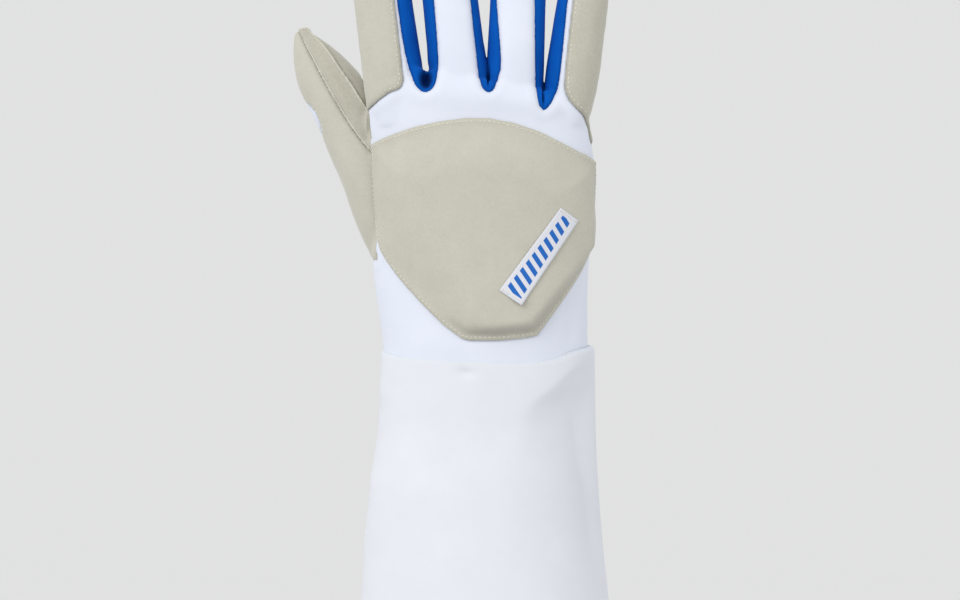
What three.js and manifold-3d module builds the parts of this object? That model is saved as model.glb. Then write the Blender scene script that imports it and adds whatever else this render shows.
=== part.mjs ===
// A right-hand fencing glove, held upright with the fingers up. Millimetres.
// +Z points from the wrist to the fingertips, -Y out of the back of the hand, -X to the thumb's side.
// The origin is the middle of the wrist, at the height of the seam that joins the cuff to the hand.

import * as THREE from 'three'
import { mergeVertices } from 'three/addons/utils/BufferGeometryUtils.js'
import Module from 'manifold-3d'

const wasm = await Module()
wasm.setup()

// Cloth, clearances and how finely each form is faceted
const HAND_WALL = 1.8
const CUFF_WALL = 1.8
const PATCH_THICKNESS = 1.2
const SEAM_GAP = 0.3
const PALM_SIDES = 32
const FINGER_SIDES = 16
const CUFF_SIDES = 40
const SEAM_STEPS = 6
const SEAM_BEND_RISE = 0.9
const SLIVER = 0.04
const FAR = 400

// The hand part, from the wrist seam up to the forks between the fingers
const PALM_LENGTH = 112
const WRIST_WIDTH = 91.6
const WRIST_DEPTH = 54
const KNUCKLE_WIDTH = 100
const KNUCKLE_DEPTH = 34
// The hand is sewn in under the cuff: how far down it reaches there, and how much smaller it is
const TUCK = 8
const TUCK_STEP = 2
// rise is a share of the palm's length. broad and flat go from the wrist's size at 0 to the knuckles' at 1.
// side and fore place the middle, as shares of the knuckles' width and depth. tilt is in degrees.
const PALM_SECTIONS = [
  { rise: 0.01, broad: 0, flat: 0, side: 0, fore: 0.09, tilt: 0, square: 2.2 },
  { rise: 0.18, broad: 0.2, flat: 0.15, side: -0.004, fore: 0.11, tilt: 0, square: 2.2 },
  { rise: 0.36, broad: 0.55, flat: 0.4, side: -0.012, fore: 0.12, tilt: 0, square: 2.2 },
  { rise: 0.57, broad: 0.84, flat: 0.62, side: -0.008, fore: 0.11, tilt: 0, square: 2.3 },
  { rise: 0.79, broad: 1, flat: 0.85, side: -0.016, fore: 0.06, tilt: 1, square: 2.4 },
  { rise: 0.92, broad: 0.97, flat: 1, side: -0.037, fore: 0.015, tilt: 3, square: 2.5 },
  { rise: 1, broad: 0.55, flat: 1.25, side: -0.03, fore: -0.03, tilt: 5, square: 2.5 },
  { rise: 1.075, broad: -0.45, flat: 1.8, side: -0.03, fore: -0.06, tilt: 8, square: 2.5 },
]

// The fingers. The middle one has the full length, width and depth, and the others have shares of them.
// Its length is from a root just below the fork to the tip.
const FINGER_LENGTH = 108.5
const FINGER_WIDTH = 26.2
const FINGER_DEPTH = 26
const FINGER_ROOT_DROP = 12
const FINGER_FORE = -2
const FINGER_CURL = 13
const FINGER_BASE = 0.34
const FINGER_SQUARE = 2.3
// root is a share of the knuckles' width, lean is degrees towards the little finger. base widens or narrows
// the finger at its root, and wears off over the lower part of its length.
const FINGERS = {
  index: { root: -0.364, lean: -9.1, length: 0.894, width: 1, depth: 0.98, base: 1 },
  middle: { root: -0.104, lean: -4.9, length: 1, width: 1, depth: 1, base: 1.12 },
  ring: { root: 0.125, lean: 2.6, length: 0.917, width: 0.97, depth: 0.96, base: 1.12 },
  little: { root: 0.354, lean: 7.5, length: 0.7, width: 0.862, depth: 0.865, base: 0.93 },
}
// Shares of a finger's length, width and depth, from root to tip
const FINGER_SECTIONS = [
  { along: 0, width: 0.86, depth: 0.84 },
  { along: 0.14, width: 0.98, depth: 0.96 },
  { along: 0.34, width: 0.99, depth: 1 },
  { along: 0.5, width: 0.97, depth: 0.94 },
  { along: 0.63, width: 0.96, depth: 0.96 },
  { along: 0.8, width: 0.9, depth: 0.88 },
  { along: 0.91, width: 0.76, depth: 0.74 },
  { along: 0.97, width: 0.52, depth: 0.52 },
  { along: 1, width: 0.22, depth: 0.24 },
]

// The thumb, from a root inside the hand, placed by shares of the knuckles' width, the palm's length and the
// wrist's depth
const THUMB_ROOT = { side: -0.34, rise: 0.4, fore: 0.15 }
const THUMB_SPREAD = 51.5
const THUMB_RISE = 101
const THUMB_FORE = 19
const THUMB_WIDTH = 28
const THUMB_DEPTH = 29
// out, up and fore are shares of the spread, the rise and the reach towards the palm's side
const THUMB_SECTIONS = [
  { out: 0, up: 0, fore: 0, width: 1.08, depth: 0.74 },
  { out: 0.318, up: 0.255, fore: 0.12, width: 1, depth: 1.02 },
  { out: 0.538, up: 0.468, fore: 0.34, width: 0.91, depth: 1 },
  { out: 0.672, up: 0.679, fore: 0.6, width: 0.94, depth: 0.94 },
  { out: 0.815, up: 0.824, fore: 0.8, width: 0.8, depth: 0.82 },
  { out: 0.925, up: 0.945, fore: 0.95, width: 0.5, depth: 0.54 },
  { out: 0.985, up: 1, fore: 1, width: 0.18, depth: 0.22 },
]
// The thumb's pieces are strips along it. Degrees round the thumb, from its back towards the index finger.
const THUMB_STRIPS = [
  { name: 'thumb_back', from: -78, to: 7 },
  { name: 'thumb_side', from: 7, to: 43 },
  { name: 'thumb_palm', from: 43, to: 205 },
  { name: 'thumb_gusset', from: 205, to: 282 },
]
// Where the thumb's pieces are sewn to the hand, seen from the back, from the wrist up to the thumb's fork.
// side and rise are shares of the knuckles' width and the palm's length.
const THUMB_SEAM = [
  { side: -2, rise: 0.35 },
  { side: -0.488, rise: 0.35 },
  { side: -0.488, rise: 0.43 },
  { side: -0.496, rise: 0.59 },
  { side: -0.511, rise: 0.78 },
  { side: -0.528, rise: 0.94 },
  { side: -0.546, rise: 1.05 },
  { side: -0.605, rise: 1.21 },
  { side: -0.68, rise: 1.9 },
  { side: -2, rise: 1.9 },
]
// Half way up the thumb its gusset comes forward in a narrow blade, seen from the back
const GUSSET_BLADE_BEARINGS = { from: 200, to: 360 }
const GUSSET_BLADE = [
  { side: -1.1, rise: 1.12 },
  { side: -0.802, rise: 0.995 },
  { side: -0.759, rise: 0.945 },
  { side: -0.734, rise: 0.874 },
  { side: -0.713, rise: 0.794 },
  { side: -0.685, rise: 0.703 },
  { side: -0.653, rise: 0.642 },
  { side: -1.1, rise: 0.5 },
]

// The strips between the fingers, seen from the back: down the finger on the thumb's side, round the fork
// and up the next. Above this, both edges keep to their fingers. side and rise as for the thumb's seam.
const FOURCHETTES = [
  { name: 'fourchette_index_middle', left: 'index', right: 'middle', outline: [
    { side: -0.394, rise: 1.385 },
    { side: -0.367, rise: 1.217 },
    { side: -0.337, rise: 1.102 },
    { side: -0.311, rise: 1.042 },
    { side: -0.273, rise: 1.016 },
    { side: -0.235, rise: 1.034 },
    { side: -0.216, rise: 1.086 },
    { side: -0.216, rise: 1.185 },
    { side: -0.233, rise: 1.385 },
  ] },
  { name: 'fourchette_middle_ring', left: 'middle', right: 'ring', outline: [
    { side: -0.065, rise: 1.385 },
    { side: -0.036, rise: 1.145 },
    { side: -0.023, rise: 1.058 },
    { side: -0.008, rise: 1.027 },
    { side: 0.016, rise: 1.016 },
    { side: 0.04, rise: 1.034 },
    { side: 0.055, rise: 1.082 },
    { side: 0.067, rise: 1.145 },
    { side: 0.046, rise: 1.385 },
  ] },
  { name: 'fourchette_ring_little', left: 'ring', right: 'little', outline: [
    { side: 0.222, rise: 1.385 },
    { side: 0.225, rise: 1.086 },
    { side: 0.234, rise: 0.986 },
    { side: 0.246, rise: 0.955 },
    { side: 0.266, rise: 0.946 },
    { side: 0.299, rise: 0.982 },
    { side: 0.326, rise: 1.058 },
    { side: 0.343, rise: 1.185 },
    { side: 0.365, rise: 1.385 },
  ] },
]

// The patches sewn over the backs of the index and little fingers, seen from the back
const INDEX_PATCH = [
  { side: -2, rise: 2.1 },
  { side: -2, rise: 0.954 },
  { side: -0.525, rise: 0.954 },
  { side: -0.44, rise: 1.012 },
  { side: -0.384, rise: 1.034 },
  { side: -0.373, rise: 1.062 },
  { side: -0.373, rise: 1.09 },
  { side: -0.41, rise: 1.385 },
  { side: -0.5, rise: 2.1 },
]
const LITTLE_PATCH = [
  { side: 0.47, rise: 2.1 },
  { side: 0.391, rise: 1.386 },
  { side: 0.358, rise: 1.087 },
  { side: 0.363, rise: 1.007 },
  { side: 0.404, rise: 0.957 },
  { side: 0.439, rise: 0.927 },
  { side: 0.461, rise: 0.879 },
  { side: 0.474, rise: 0.82 },
  { side: 2, rise: 0.82 },
  { side: 2, rise: 2.1 },
]

// The padded guard on the back of the hand, as wide as the knuckles. across and up are shares of its size,
// from its middle.
const PAD_WIDTH = KNUCKLE_WIDTH
const PAD_HEIGHT = 100
const PAD_THICKNESS = 7
const PAD_FLANGE = 3.6
const PAD_FLANGE_THICKNESS = 1.8
const PAD_BEVEL = 9
const PAD_BELOW_FORKS = 59.3
const PAD_SIDE = -0.6
const PAD_OUTLINE = [
  { across: -0.5, up: 0.38 },
  { across: -0.421, up: 0.418 },
  { across: -0.307, up: 0.456 },
  { across: -0.196, up: 0.48 },
  { across: -0.086, up: 0.494 },
  { across: 0.025, up: 0.493 },
  { across: 0.136, up: 0.472 },
  { across: 0.247, up: 0.434 },
  { across: 0.336, up: 0.39 },
  { across: 0.416, up: 0.349 },
  { across: 0.492, up: 0.309 },
  { across: 0.5, up: 0.246 },
  { across: 0.507, up: 0.111 },
  { across: 0.5, up: -0.001 },
  { across: 0.48, up: -0.091 },
  { across: 0.416, up: -0.215 },
  { across: 0.349, up: -0.316 },
  { across: 0.269, up: -0.426 },
  { across: 0.234, up: -0.473 },
  { across: 0.181, up: -0.484 },
  { across: 0.059, up: -0.495 },
  { across: -0.063, up: -0.495 },
  { across: -0.099, up: -0.486 },
  { across: -0.18, up: -0.426 },
  { across: -0.291, up: -0.316 },
  { across: -0.388, up: -0.204 },
  { across: -0.462, up: -0.092 },
  { across: -0.479, up: -0.029 },
  { across: -0.493, up: 0.131 },
  { across: -0.502, up: 0.266 },
]
const PAD_STEP = 12
const PAD_SUNK = 4
const PAD_WRAP = 0.99
// inset runs in from the outline: 0 is the outline, 1 the flange's inner edge, 2 the top of the bevel
const PAD_RINGS = [
  { inset: 0, toMiddle: 0, height: 0 },
  { inset: 1, toMiddle: 0, height: 0 },
  { inset: 1.35, toMiddle: 0, height: 0.55 },
  { inset: 2, toMiddle: 0, height: 0.9 },
  { inset: 2, toMiddle: 0.35, height: 1 },
  { inset: 2, toMiddle: 0.68, height: 1 },
]

// The woven label on the guard
const LABEL_LENGTH = 46.5
const LABEL_WIDTH = 9.6
const LABEL_THICKNESS = 0.8
const LABEL_TURN = 58
const LABEL_ACROSS = 22.9
const LABEL_UP = -12.2
const LABEL_STEPS = 6

// The cuff, from the wrist seam down
const CUFF_LENGTH = 165
const CUFF_END_WIDTH = 117
const CUFF_END_DEPTH = 96
const CUFF_END_SIDE = -1.2
const CUFF_SLACK_WIDTH = 4
const CUFF_SLACK_DEPTH = 2
const CUFF_SQUARE = 2.2
// drop is a share of the cuff's length, flare goes from the wrist's size at 0 to the open end's at 1
const CUFF_SECTIONS = [
  { drop: 0, flare: 0 },
  { drop: 0.07, flare: 0.03 },
  { drop: 0.16, flare: 0.09 },
  { drop: 0.27, flare: 0.17 },
  { drop: 0.4, flare: 0.31 },
  { drop: 0.55, flare: 0.5 },
  { drop: 0.7, flare: 0.68 },
  { drop: 0.85, flare: 0.85 },
  { drop: 1, flare: 1 },
]
// Soft dents in the cuff. bearing and spread are degrees round it, from the back towards the little finger's
// side. drop and reach are shares of its length, and depth is a share of its open end's depth.
const CUFF_DENTS = [
  { bearing: 42, drop: 0.14, reach: 0.13, spread: 22, depth: 0.025 },
  { bearing: 62, drop: 0.42, reach: 0.22, spread: 20, depth: 0.019 },
  { bearing: -150, drop: 0.25, reach: 0.2, spread: 30, depth: 0.025 },
  { bearing: 150, drop: 0.6, reach: 0.25, spread: 28, depth: 0.021 },
]

const mix = (from, to, share) => from + (to - from) * share
const radians = THREE.MathUtils.degToRad
const FINGER_ROOT = PALM_LENGTH - FINGER_ROOT_DROP

// The fingers share one bend towards the palm, and their side seams follow it
function bendAt(height) {
  const share = Math.max(0, height - FINGER_ROOT) / FINGER_LENGTH
  return FINGER_FORE + FINGER_CURL * share * share
}

// A cross-section: a squared ellipse round a middle, in the plane of two directions
function sectionPoint(section, angle) {
  const power = 2 / section.square
  const across = Math.sign(Math.cos(angle)) * Math.abs(Math.cos(angle)) ** power
  const through = Math.sign(Math.sin(angle)) * Math.abs(Math.sin(angle)) ** power
  return section.middle.clone()
    .addScaledVector(section.across, across * section.halfWidth)
    .addScaledVector(section.through, through * section.halfDepth)
}

// Joins rings of points, each with as many points, and closes both ends on a middle point
function closedRings(rings, firstMiddle, lastMiddle) {
  const sides = rings[0].length
  const points = [...rings.flat(), firstMiddle, lastMiddle]
  const first = points.length - 2
  const last = points.length - 1
  const faces = []
  for (let side = 0; side < sides; side++) {
    const next = (side + 1) % sides
    for (let ring = 0; ring + 1 < rings.length; ring++) {
      const low = ring * sides
      const high = low + sides
      faces.push(low + side, low + next, high + next, low + side, high + next, high + side)
    }
    const top = (rings.length - 1) * sides
    faces.push(first, next, side, last, top + side, top + next)
  }
  const geometry = new THREE.BufferGeometry().setFromPoints(points)
  geometry.setIndex(faces)
  return geometry
}

function loft(sections, sides) {
  const rings = sections.map((section) =>
    Array.from({ length: sides }, (_, side) => sectionPoint(section, (2 * Math.PI * side) / sides)))
  return closedRings(rings, sections[0].middle, sections.at(-1).middle)
}

function solid(geometry) {
  const bare = geometry.clone()
  bare.deleteAttribute('normal')
  bare.deleteAttribute('uv')
  const merged = mergeVertices(bare, 1e-5)
  return new wasm.Manifold(new wasm.Mesh({
    numProp: 3,
    vertProperties: new Float32Array(merged.attributes.position.array),
    triVerts: new Uint32Array(merged.index.array),
  }))
}

const joined = (solids) => solids.reduce((whole, piece) => whole.add(piece))

// The biggest body of a cut piece, without the crumbs and slivers that a cut can leave
function largest(piece) {
  const body = piece.decompose().reduce((best, part) => (part.volume() > best.volume() ? part : best))
  return body.simplify(SLIVER)
}

// A flat outline seen from the back, given as [x, z] points, made a prism right through the hand
function backPrism(points) {
  const shape = new THREE.Shape(points.map(([x, z]) => new THREE.Vector2(x, z)))
  const geometry = new THREE.ExtrudeGeometry(shape, { depth: 2 * FAR, bevelEnabled: false })
  const basis = new THREE.Matrix4().makeBasis(
    new THREE.Vector3(1, 0, 0), new THREE.Vector3(0, 0, 1), new THREE.Vector3(0, -1, 0))
  geometry.applyMatrix4(basis.setPosition(0, FAR, 0))
  return solid(geometry)
}

// A flat outline seen from the side, given as [y, z] points, made a prism right across the hand
function sidePrism(points) {
  const shape = new THREE.Shape(points.map(([y, z]) => new THREE.Vector2(y, z)))
  const geometry = new THREE.ExtrudeGeometry(shape, { depth: 2 * FAR, bevelEnabled: false })
  const basis = new THREE.Matrix4().makeBasis(
    new THREE.Vector3(0, 1, 0), new THREE.Vector3(0, 0, 1), new THREE.Vector3(1, 0, 0))
  geometry.applyMatrix4(basis.setPosition(-FAR, 0, 0))
  return solid(geometry)
}

// Places on the back view, from shares of the knuckles' width and the palm's length
const place = ({ side, rise }) => [side * KNUCKLE_WIDTH, rise * PALM_LENGTH]

// A closed outline moved outwards all round, or inwards where by is negative
function grown(points, by) {
  const corners = points.map(([x, z]) => new THREE.Vector2(x, z))
  const way = Math.sign(THREE.ShapeUtils.area(corners))
  const outward = (from, to) => {
    const edge = to.clone().sub(from).normalize()
    return new THREE.Vector2(edge.y, -edge.x).multiplyScalar(way)
  }
  return corners.map((corner, at) => {
    const before = outward(corners.at(at - 1), corner)
    const after = outward(corner, corners[(at + 1) % corners.length])
    const mitre = before.clone().add(after).divideScalar(1 + before.dot(after))
    return [corner.x + mitre.x * by, corner.y + mitre.y * by]
  })
}

// One palm section, grown by an offset. Its plane tilts down towards the little finger.
function palmSection(row, offset) {
  const tilt = radians(row.tilt)
  return {
    middle: new THREE.Vector3(row.side * KNUCKLE_WIDTH, row.fore * KNUCKLE_DEPTH, row.rise * PALM_LENGTH),
    across: new THREE.Vector3(Math.cos(tilt), 0, -Math.sin(tilt)),
    through: new THREE.Vector3(0, 1, 0),
    halfWidth: mix(WRIST_WIDTH, KNUCKLE_WIDTH, row.broad) / 2 + offset,
    halfDepth: mix(WRIST_DEPTH, KNUCKLE_DEPTH, row.flat) / 2 + offset,
    square: row.square,
  }
}

function palmLoft(offset, tuck) {
  const sections = PALM_SECTIONS.map((row) => palmSection(row, offset))
  sections.at(-1).middle.z += offset
  const foot = [tuck, 0].map((drop) => ({
    ...sections[0],
    middle: sections[0].middle.clone().setZ(-drop),
    halfWidth: sections[0].halfWidth - TUCK_STEP,
    halfDepth: sections[0].halfDepth - TUCK_STEP,
  }))
  return loft([...foot, ...sections], PALM_SIDES)
}

// Sections square to a path, turned so that their width runs from side to side
function pathSections(path, rows, width, depth, offset) {
  return rows.map((row, at) => {
    const before = path[Math.max(0, at - 1)]
    const after = path[Math.min(path.length - 1, at + 1)]
    const along = after.clone().sub(before).normalize()
    const across = new THREE.Vector3(0, 1, 0).cross(along).normalize()
    return {
      middle: path[at],
      across,
      through: along.clone().cross(across),
      halfWidth: Math.max(row.width * (width / 2 + offset), HAND_WALL / 2),
      halfDepth: Math.max(row.depth * (depth / 2 + offset), HAND_WALL / 2),
      square: FINGER_SQUARE,
    }
  })
}

function fingerAxis(finger, height) {
  return finger.root * KNUCKLE_WIDTH + Math.tan(radians(finger.lean)) * (height - FINGER_ROOT)
}

function fingerLoft(finger, offset) {
  const rows = FINGER_SECTIONS.map((row) => {
    const swell = mix(finger.base, 1, Math.min(1, row.along / FINGER_BASE))
    return { ...row, width: row.width * swell }
  })
  const rise = (FINGER_LENGTH * finger.length + offset) * Math.cos(radians(finger.lean))
  const path = rows.map((row) => {
    const height = FINGER_ROOT + row.along * rise
    return new THREE.Vector3(fingerAxis(finger, height), bendAt(height), height)
  })
  const [width, depth] = [FINGER_WIDTH * finger.width, FINGER_DEPTH * finger.depth]
  return loft(pathSections(path, rows, width, depth, offset), FINGER_SIDES)
}

const thumbRoot = new THREE.Vector3(
  THUMB_ROOT.side * KNUCKLE_WIDTH, THUMB_ROOT.fore * WRIST_DEPTH, THUMB_ROOT.rise * PALM_LENGTH)
const thumbReach = new THREE.Vector3(-THUMB_SPREAD, THUMB_FORE, THUMB_RISE)

function thumbLoft(offset) {
  const stretch = 1 + offset / thumbReach.length()
  const path = THUMB_SECTIONS.map((row) => new THREE.Vector3(
    -THUMB_SPREAD * row.out, THUMB_FORE * row.fore, THUMB_RISE * row.up)
    .multiplyScalar(stretch).add(thumbRoot))
  return loft(pathSections(path, THUMB_SECTIONS, THUMB_WIDTH, THUMB_DEPTH, offset), FINGER_SIDES)
}

// The whole hand part as one solid, grown or shrunk by an offset
function handForm(offset, tuck) {
  const lofts = [palmLoft(offset, tuck), thumbLoft(offset)]
  for (const finger of Object.values(FINGERS)) lofts.push(fingerLoft(finger, offset))
  return joined(lofts.map(solid))
}

const handOutside = handForm(0, TUCK)
const handShell = handOutside.subtract(handForm(-HAND_WALL, TUCK + HAND_WALL))

// The side seams run up the middle of the hand's depth, then follow the fingers' bend
function seamFrom(shift) {
  const line = PALM_SECTIONS.filter((row) => row.rise < SEAM_BEND_RISE)
    .map((row) => [row.fore * KNUCKLE_DEPTH + shift, row.rise * PALM_LENGTH])
  const top = FINGER_ROOT + FINGER_LENGTH
  for (let step = 0; step <= SEAM_STEPS; step++) {
    const height = mix(PALM_LENGTH, top, step / SEAM_STEPS)
    line.push([bendAt(height) + shift, height])
  }
  return [[line[0][0], -FAR], ...line, [line.at(-1)[0], FAR]]
}
const backRegion = sidePrism([[-FAR, FAR], [-FAR, -FAR], ...seamFrom(-SEAM_GAP / 2)])
const palmRegion = sidePrism([...seamFrom(SEAM_GAP / 2), [FAR, FAR], [FAR, -FAR]])

const thumbOutline = THUMB_SEAM.map(place)
const thumbCut = backPrism(grown(thumbOutline, SEAM_GAP / 2))

// The outline of one strip between two fingers, which keeps to both of them above its table's ends
function fourchetteOutline({ left, right, outline }) {
  const points = outline.map(place)
  const above = (finger, [x, z]) => [x + fingerAxis(finger, FAR) - fingerAxis(finger, z), FAR]
  return [above(FINGERS[left], points[0]), ...points, above(FINGERS[right], points.at(-1))]
}
const fourchetteCuts = FOURCHETTES.map((strip) => backPrism(grown(fourchetteOutline(strip), SEAM_GAP / 2)))

const handMain = handShell.subtract(thumbCut).subtract(joined(fourchetteCuts))
const backPanel = largest(handMain.intersect(backRegion))
const palmPanel = largest(handMain.intersect(palmRegion))

const fourchettes = FOURCHETTES.map((strip) => ({
  name: strip.name,
  piece: largest(handShell.intersect(backPrism(grown(fourchetteOutline(strip), -SEAM_GAP / 2)))),
}))

// A wedge that opens from the thumb's middle line between two bearings round it
function thumbWedge({ from, to }) {
  const along = thumbReach.clone().normalize()
  const across = new THREE.Vector3(0, 1, 0).cross(along).normalize()
  const out = along.clone().cross(across).negate()
  const ray = (degrees) => new THREE.Vector2(Math.cos(radians(degrees)), Math.sin(radians(degrees)))
  const half = (to - from) / 2
  const tip = ray(from + half).multiplyScalar(SEAM_GAP / 2 / Math.sin(radians(half)))
  const shape = new THREE.Shape([
    tip,
    ray(from).multiplyScalar(FAR).add(tip),
    ray(from + half).multiplyScalar(2 * FAR).add(tip),
    ray(to).multiplyScalar(FAR).add(tip),
  ])
  const geometry = new THREE.ExtrudeGeometry(shape, { depth: 2 * FAR, bevelEnabled: false })
  const basis = new THREE.Matrix4().makeBasis(out, across, out.clone().cross(across))
  const start = thumbRoot.clone().addScaledVector(out.clone().cross(across), -FAR)
  geometry.applyMatrix4(basis.setPosition(start))
  return solid(geometry)
}
const thumbShell = handShell.intersect(backPrism(grown(thumbOutline, -SEAM_GAP / 2)))
const blade = (by) => backPrism(grown(GUSSET_BLADE.map(place), by))
const thumbPieces = THUMB_STRIPS.map((strip) => {
  let cut = thumbShell.intersect(thumbWedge(strip))
  if (strip.name === 'thumb_back') cut = cut.subtract(blade(SEAM_GAP / 2))
  if (strip.name === 'thumb_gusset') {
    const edge = thumbShell.intersect(blade(-SEAM_GAP / 2)).intersect(thumbWedge(GUSSET_BLADE_BEARINGS))
    cut = cut.add(edge)
  }
  return { name: strip.name, piece: largest(cut) }
})

// A second layer of suede that lies on the back panel
const patchLayer = handForm(SEAM_GAP + PATCH_THICKNESS, TUCK).subtract(handForm(SEAM_GAP, 2 * TUCK))
function patchPiece(outline) {
  return largest(patchLayer.intersect(backPrism(outline.map(place))).intersect(backRegion).subtract(thumbCut))
}
const indexPatch = patchPiece(INDEX_PATCH)
const littlePatch = patchPiece(LITTLE_PATCH)

// A place on the back of the palm, at a distance x from the middle plane, raised off the cloth
function onBack(x, z, raised) {
  const rows = PALM_SECTIONS
  const share = z / PALM_LENGTH
  const above = Math.max(1, rows.findIndex((row, at) => row.rise > share || at === rows.length - 1))
  const low = rows[above - 1]
  const high = rows[above]
  const part = (share - low.rise) / (high.rise - low.rise)
  const blend = Object.fromEntries(Object.keys(low).map((key) => [key, mix(low[key], high[key], part)]))
  const section = palmSection({ ...blend, tilt: 0, rise: share }, 0)
  const offset = THREE.MathUtils.clamp((x - section.middle.x) / section.halfWidth, -PAD_WRAP, PAD_WRAP)
  const through = (1 - Math.abs(offset) ** section.square) ** (1 / section.square)
  const steep = Math.sign(offset) * Math.abs(offset) ** (section.square - 1)
  const flat = through ** (section.square - 1)
  const normal = new THREE.Vector3(steep / section.halfWidth, -flat / section.halfDepth, 0)
  return section.middle.clone()
    .add(new THREE.Vector3(offset * section.halfWidth, -through * section.halfDepth, 0))
    .addScaledVector(normal.normalize(), raised)
}

const padMiddle = new THREE.Vector2(PAD_SIDE, PALM_LENGTH - PAD_BELOW_FORKS)

// The guard's outline with its long edges divided, so that it can follow the hand's curve
function padOutline() {
  const corners = PAD_OUTLINE.map(({ across, up }) => new THREE.Vector2(across * PAD_WIDTH, up * PAD_HEIGHT))
  return corners.flatMap((corner, at) => {
    const next = corners[(at + 1) % corners.length]
    const [from, to] = [corner, next].map((end) => onBack(end.x + padMiddle.x, end.y + padMiddle.y, 0))
    const steps = Math.ceil(from.distanceTo(to) / PAD_STEP)
    return Array.from({ length: steps }, (_, step) => corner.clone().lerp(next, step / steps))
  })
}

function padRing(outline, row) {
  const flange = Math.min(row.inset, 1) * PAD_FLANGE
  const bevel = Math.max(0, row.inset - 1) * PAD_BEVEL
  const height = row.sunk ? -PAD_SUNK : mix(PAD_FLANGE_THICKNESS, PAD_THICKNESS, row.height)
  return outline.map((corner) => {
    const reach = (1 - (flange + bevel) / corner.length()) * (1 - row.toMiddle)
    const at = corner.clone().multiplyScalar(reach).add(padMiddle)
    return onBack(at.x, at.y, SEAM_GAP + height)
  })
}

// The guard starts below the cloth, and the hand is then taken off its underside
function padSolid() {
  const outline = padOutline().reverse()
  const rings = [{ inset: 0, toMiddle: 0, sunk: true }, ...PAD_RINGS].map((row) => padRing(outline, row))
  return closedRings(rings,
    onBack(padMiddle.x, padMiddle.y, -PAD_SUNK), onBack(padMiddle.x, padMiddle.y, SEAM_GAP + PAD_THICKNESS))
}
const backPad = largest(solid(padSolid()).subtract(handForm(SEAM_GAP, 2 * TUCK)))

// The label is a short strip of cloth, slanting up to the right, laid on the guard's crown
function labelSolid() {
  const along = new THREE.Vector2(1, 0).rotateAround(new THREE.Vector2(), radians(LABEL_TURN))
  const across = new THREE.Vector2(-along.y, along.x)
  const middle = padMiddle.clone().add(new THREE.Vector2(LABEL_ACROSS, LABEL_UP))
  const low = 2 * SEAM_GAP + PAD_THICKNESS
  const corners = [[-0.5, 0], [0.5, 0], [0.5, 1], [-0.5, 1]]
  const rings = []
  for (let step = 0; step <= LABEL_STEPS; step++) {
    const spot = middle.clone().addScaledVector(along, LABEL_LENGTH * (step / LABEL_STEPS - 0.5))
    rings.push(corners.map(([side, top]) => {
      const at = spot.clone().addScaledVector(across, side * LABEL_WIDTH)
      return onBack(at.x, at.y, low + top * LABEL_THICKNESS)
    }))
  }
  const midpoint = (ring) => ring[0].clone().lerp(ring[2], 0.5)
  return closedRings(rings, midpoint(rings[0]), midpoint(rings.at(-1)))
}

// The cuff's section at a share of its length, with a wall to take off for its inside
function cuffSection({ drop, flare }, wall) {
  const top = 2 * (SEAM_GAP + CUFF_WALL - TUCK_STEP)
  const side = mix(CUFF_SLACK_WIDTH / 2, CUFF_END_SIDE, flare)
  const fore = PALM_SECTIONS[0].fore * KNUCKLE_DEPTH
  return {
    middle: new THREE.Vector3(side, fore, -drop * CUFF_LENGTH),
    halfWidth: mix(WRIST_WIDTH + top + CUFF_SLACK_WIDTH, CUFF_END_WIDTH, flare) / 2 - wall,
    halfDepth: mix(WRIST_DEPTH + top + CUFF_SLACK_DEPTH, CUFF_END_DEPTH, flare) / 2 - wall,
    across: new THREE.Vector3(1, 0, 0),
    through: new THREE.Vector3(0, 1, 0),
    square: CUFF_SQUARE,
  }
}

function dentAt(bearing, drop) {
  return CUFF_DENTS.reduce((depth, dent) => {
    const turn = ((bearing - dent.bearing + 540) % 360) - 180
    const reach = (drop - dent.drop) / dent.reach
    return depth + dent.depth * CUFF_END_DEPTH * Math.exp(-((turn / dent.spread) ** 2) - reach * reach)
  }, 0)
}

function cuffRings(wall) {
  return CUFF_SECTIONS.map((row) => {
    const section = cuffSection(row, wall)
    return Array.from({ length: CUFF_SIDES }, (_, side) => {
      const angle = (2 * Math.PI * side) / CUFF_SIDES
      const dent = row.drop > 0 ? dentAt(THREE.MathUtils.radToDeg(angle) + 90, row.drop) : 0
      const point = sectionPoint(section, angle)
      const inward = section.middle.clone().sub(point).normalize()
      return point.addScaledVector(inward, dent)
    })
  })
}

// Outer and inner walls meet at both rims, so the rings run down outside and up inside
function cuffSolid() {
  const outside = cuffRings(0)
  const inside = cuffRings(CUFF_WALL).reverse()
  const rings = [...outside, ...inside, outside[0]]
  const points = rings.flat()
  const faces = []
  for (let ring = 0; ring + 1 < rings.length; ring++) {
    for (let side = 0; side < CUFF_SIDES; side++) {
      const next = (side + 1) % CUFF_SIDES
      const low = ring * CUFF_SIDES
      const high = low + CUFF_SIDES
      faces.push(low + side, high + next, low + next, low + side, high + side, high + next)
    }
  }
  const geometry = new THREE.BufferGeometry().setFromPoints(points)
  geometry.setIndex(faces)
  return geometry
}

const suede = new THREE.MeshStandardMaterial({ color: 0xcac8bb, roughness: 0.92, metalness: 0 })
const whiteCloth = new THREE.MeshStandardMaterial({ color: 0xe9edf6, roughness: 0.8, metalness: 0 })
const cuffCloth = new THREE.MeshStandardMaterial({ color: 0xebeff5, roughness: 0.85, metalness: 0 })
const blueKnit = new THREE.MeshStandardMaterial({ color: 0x0b55ad, roughness: 0.75, metalness: 0 })
const labelTape = new THREE.MeshStandardMaterial({ color: 0xe4e6ee, roughness: 0.6, metalness: 0 })

const glove = new THREE.Group()
glove.name = 'fencing_glove'

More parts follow.
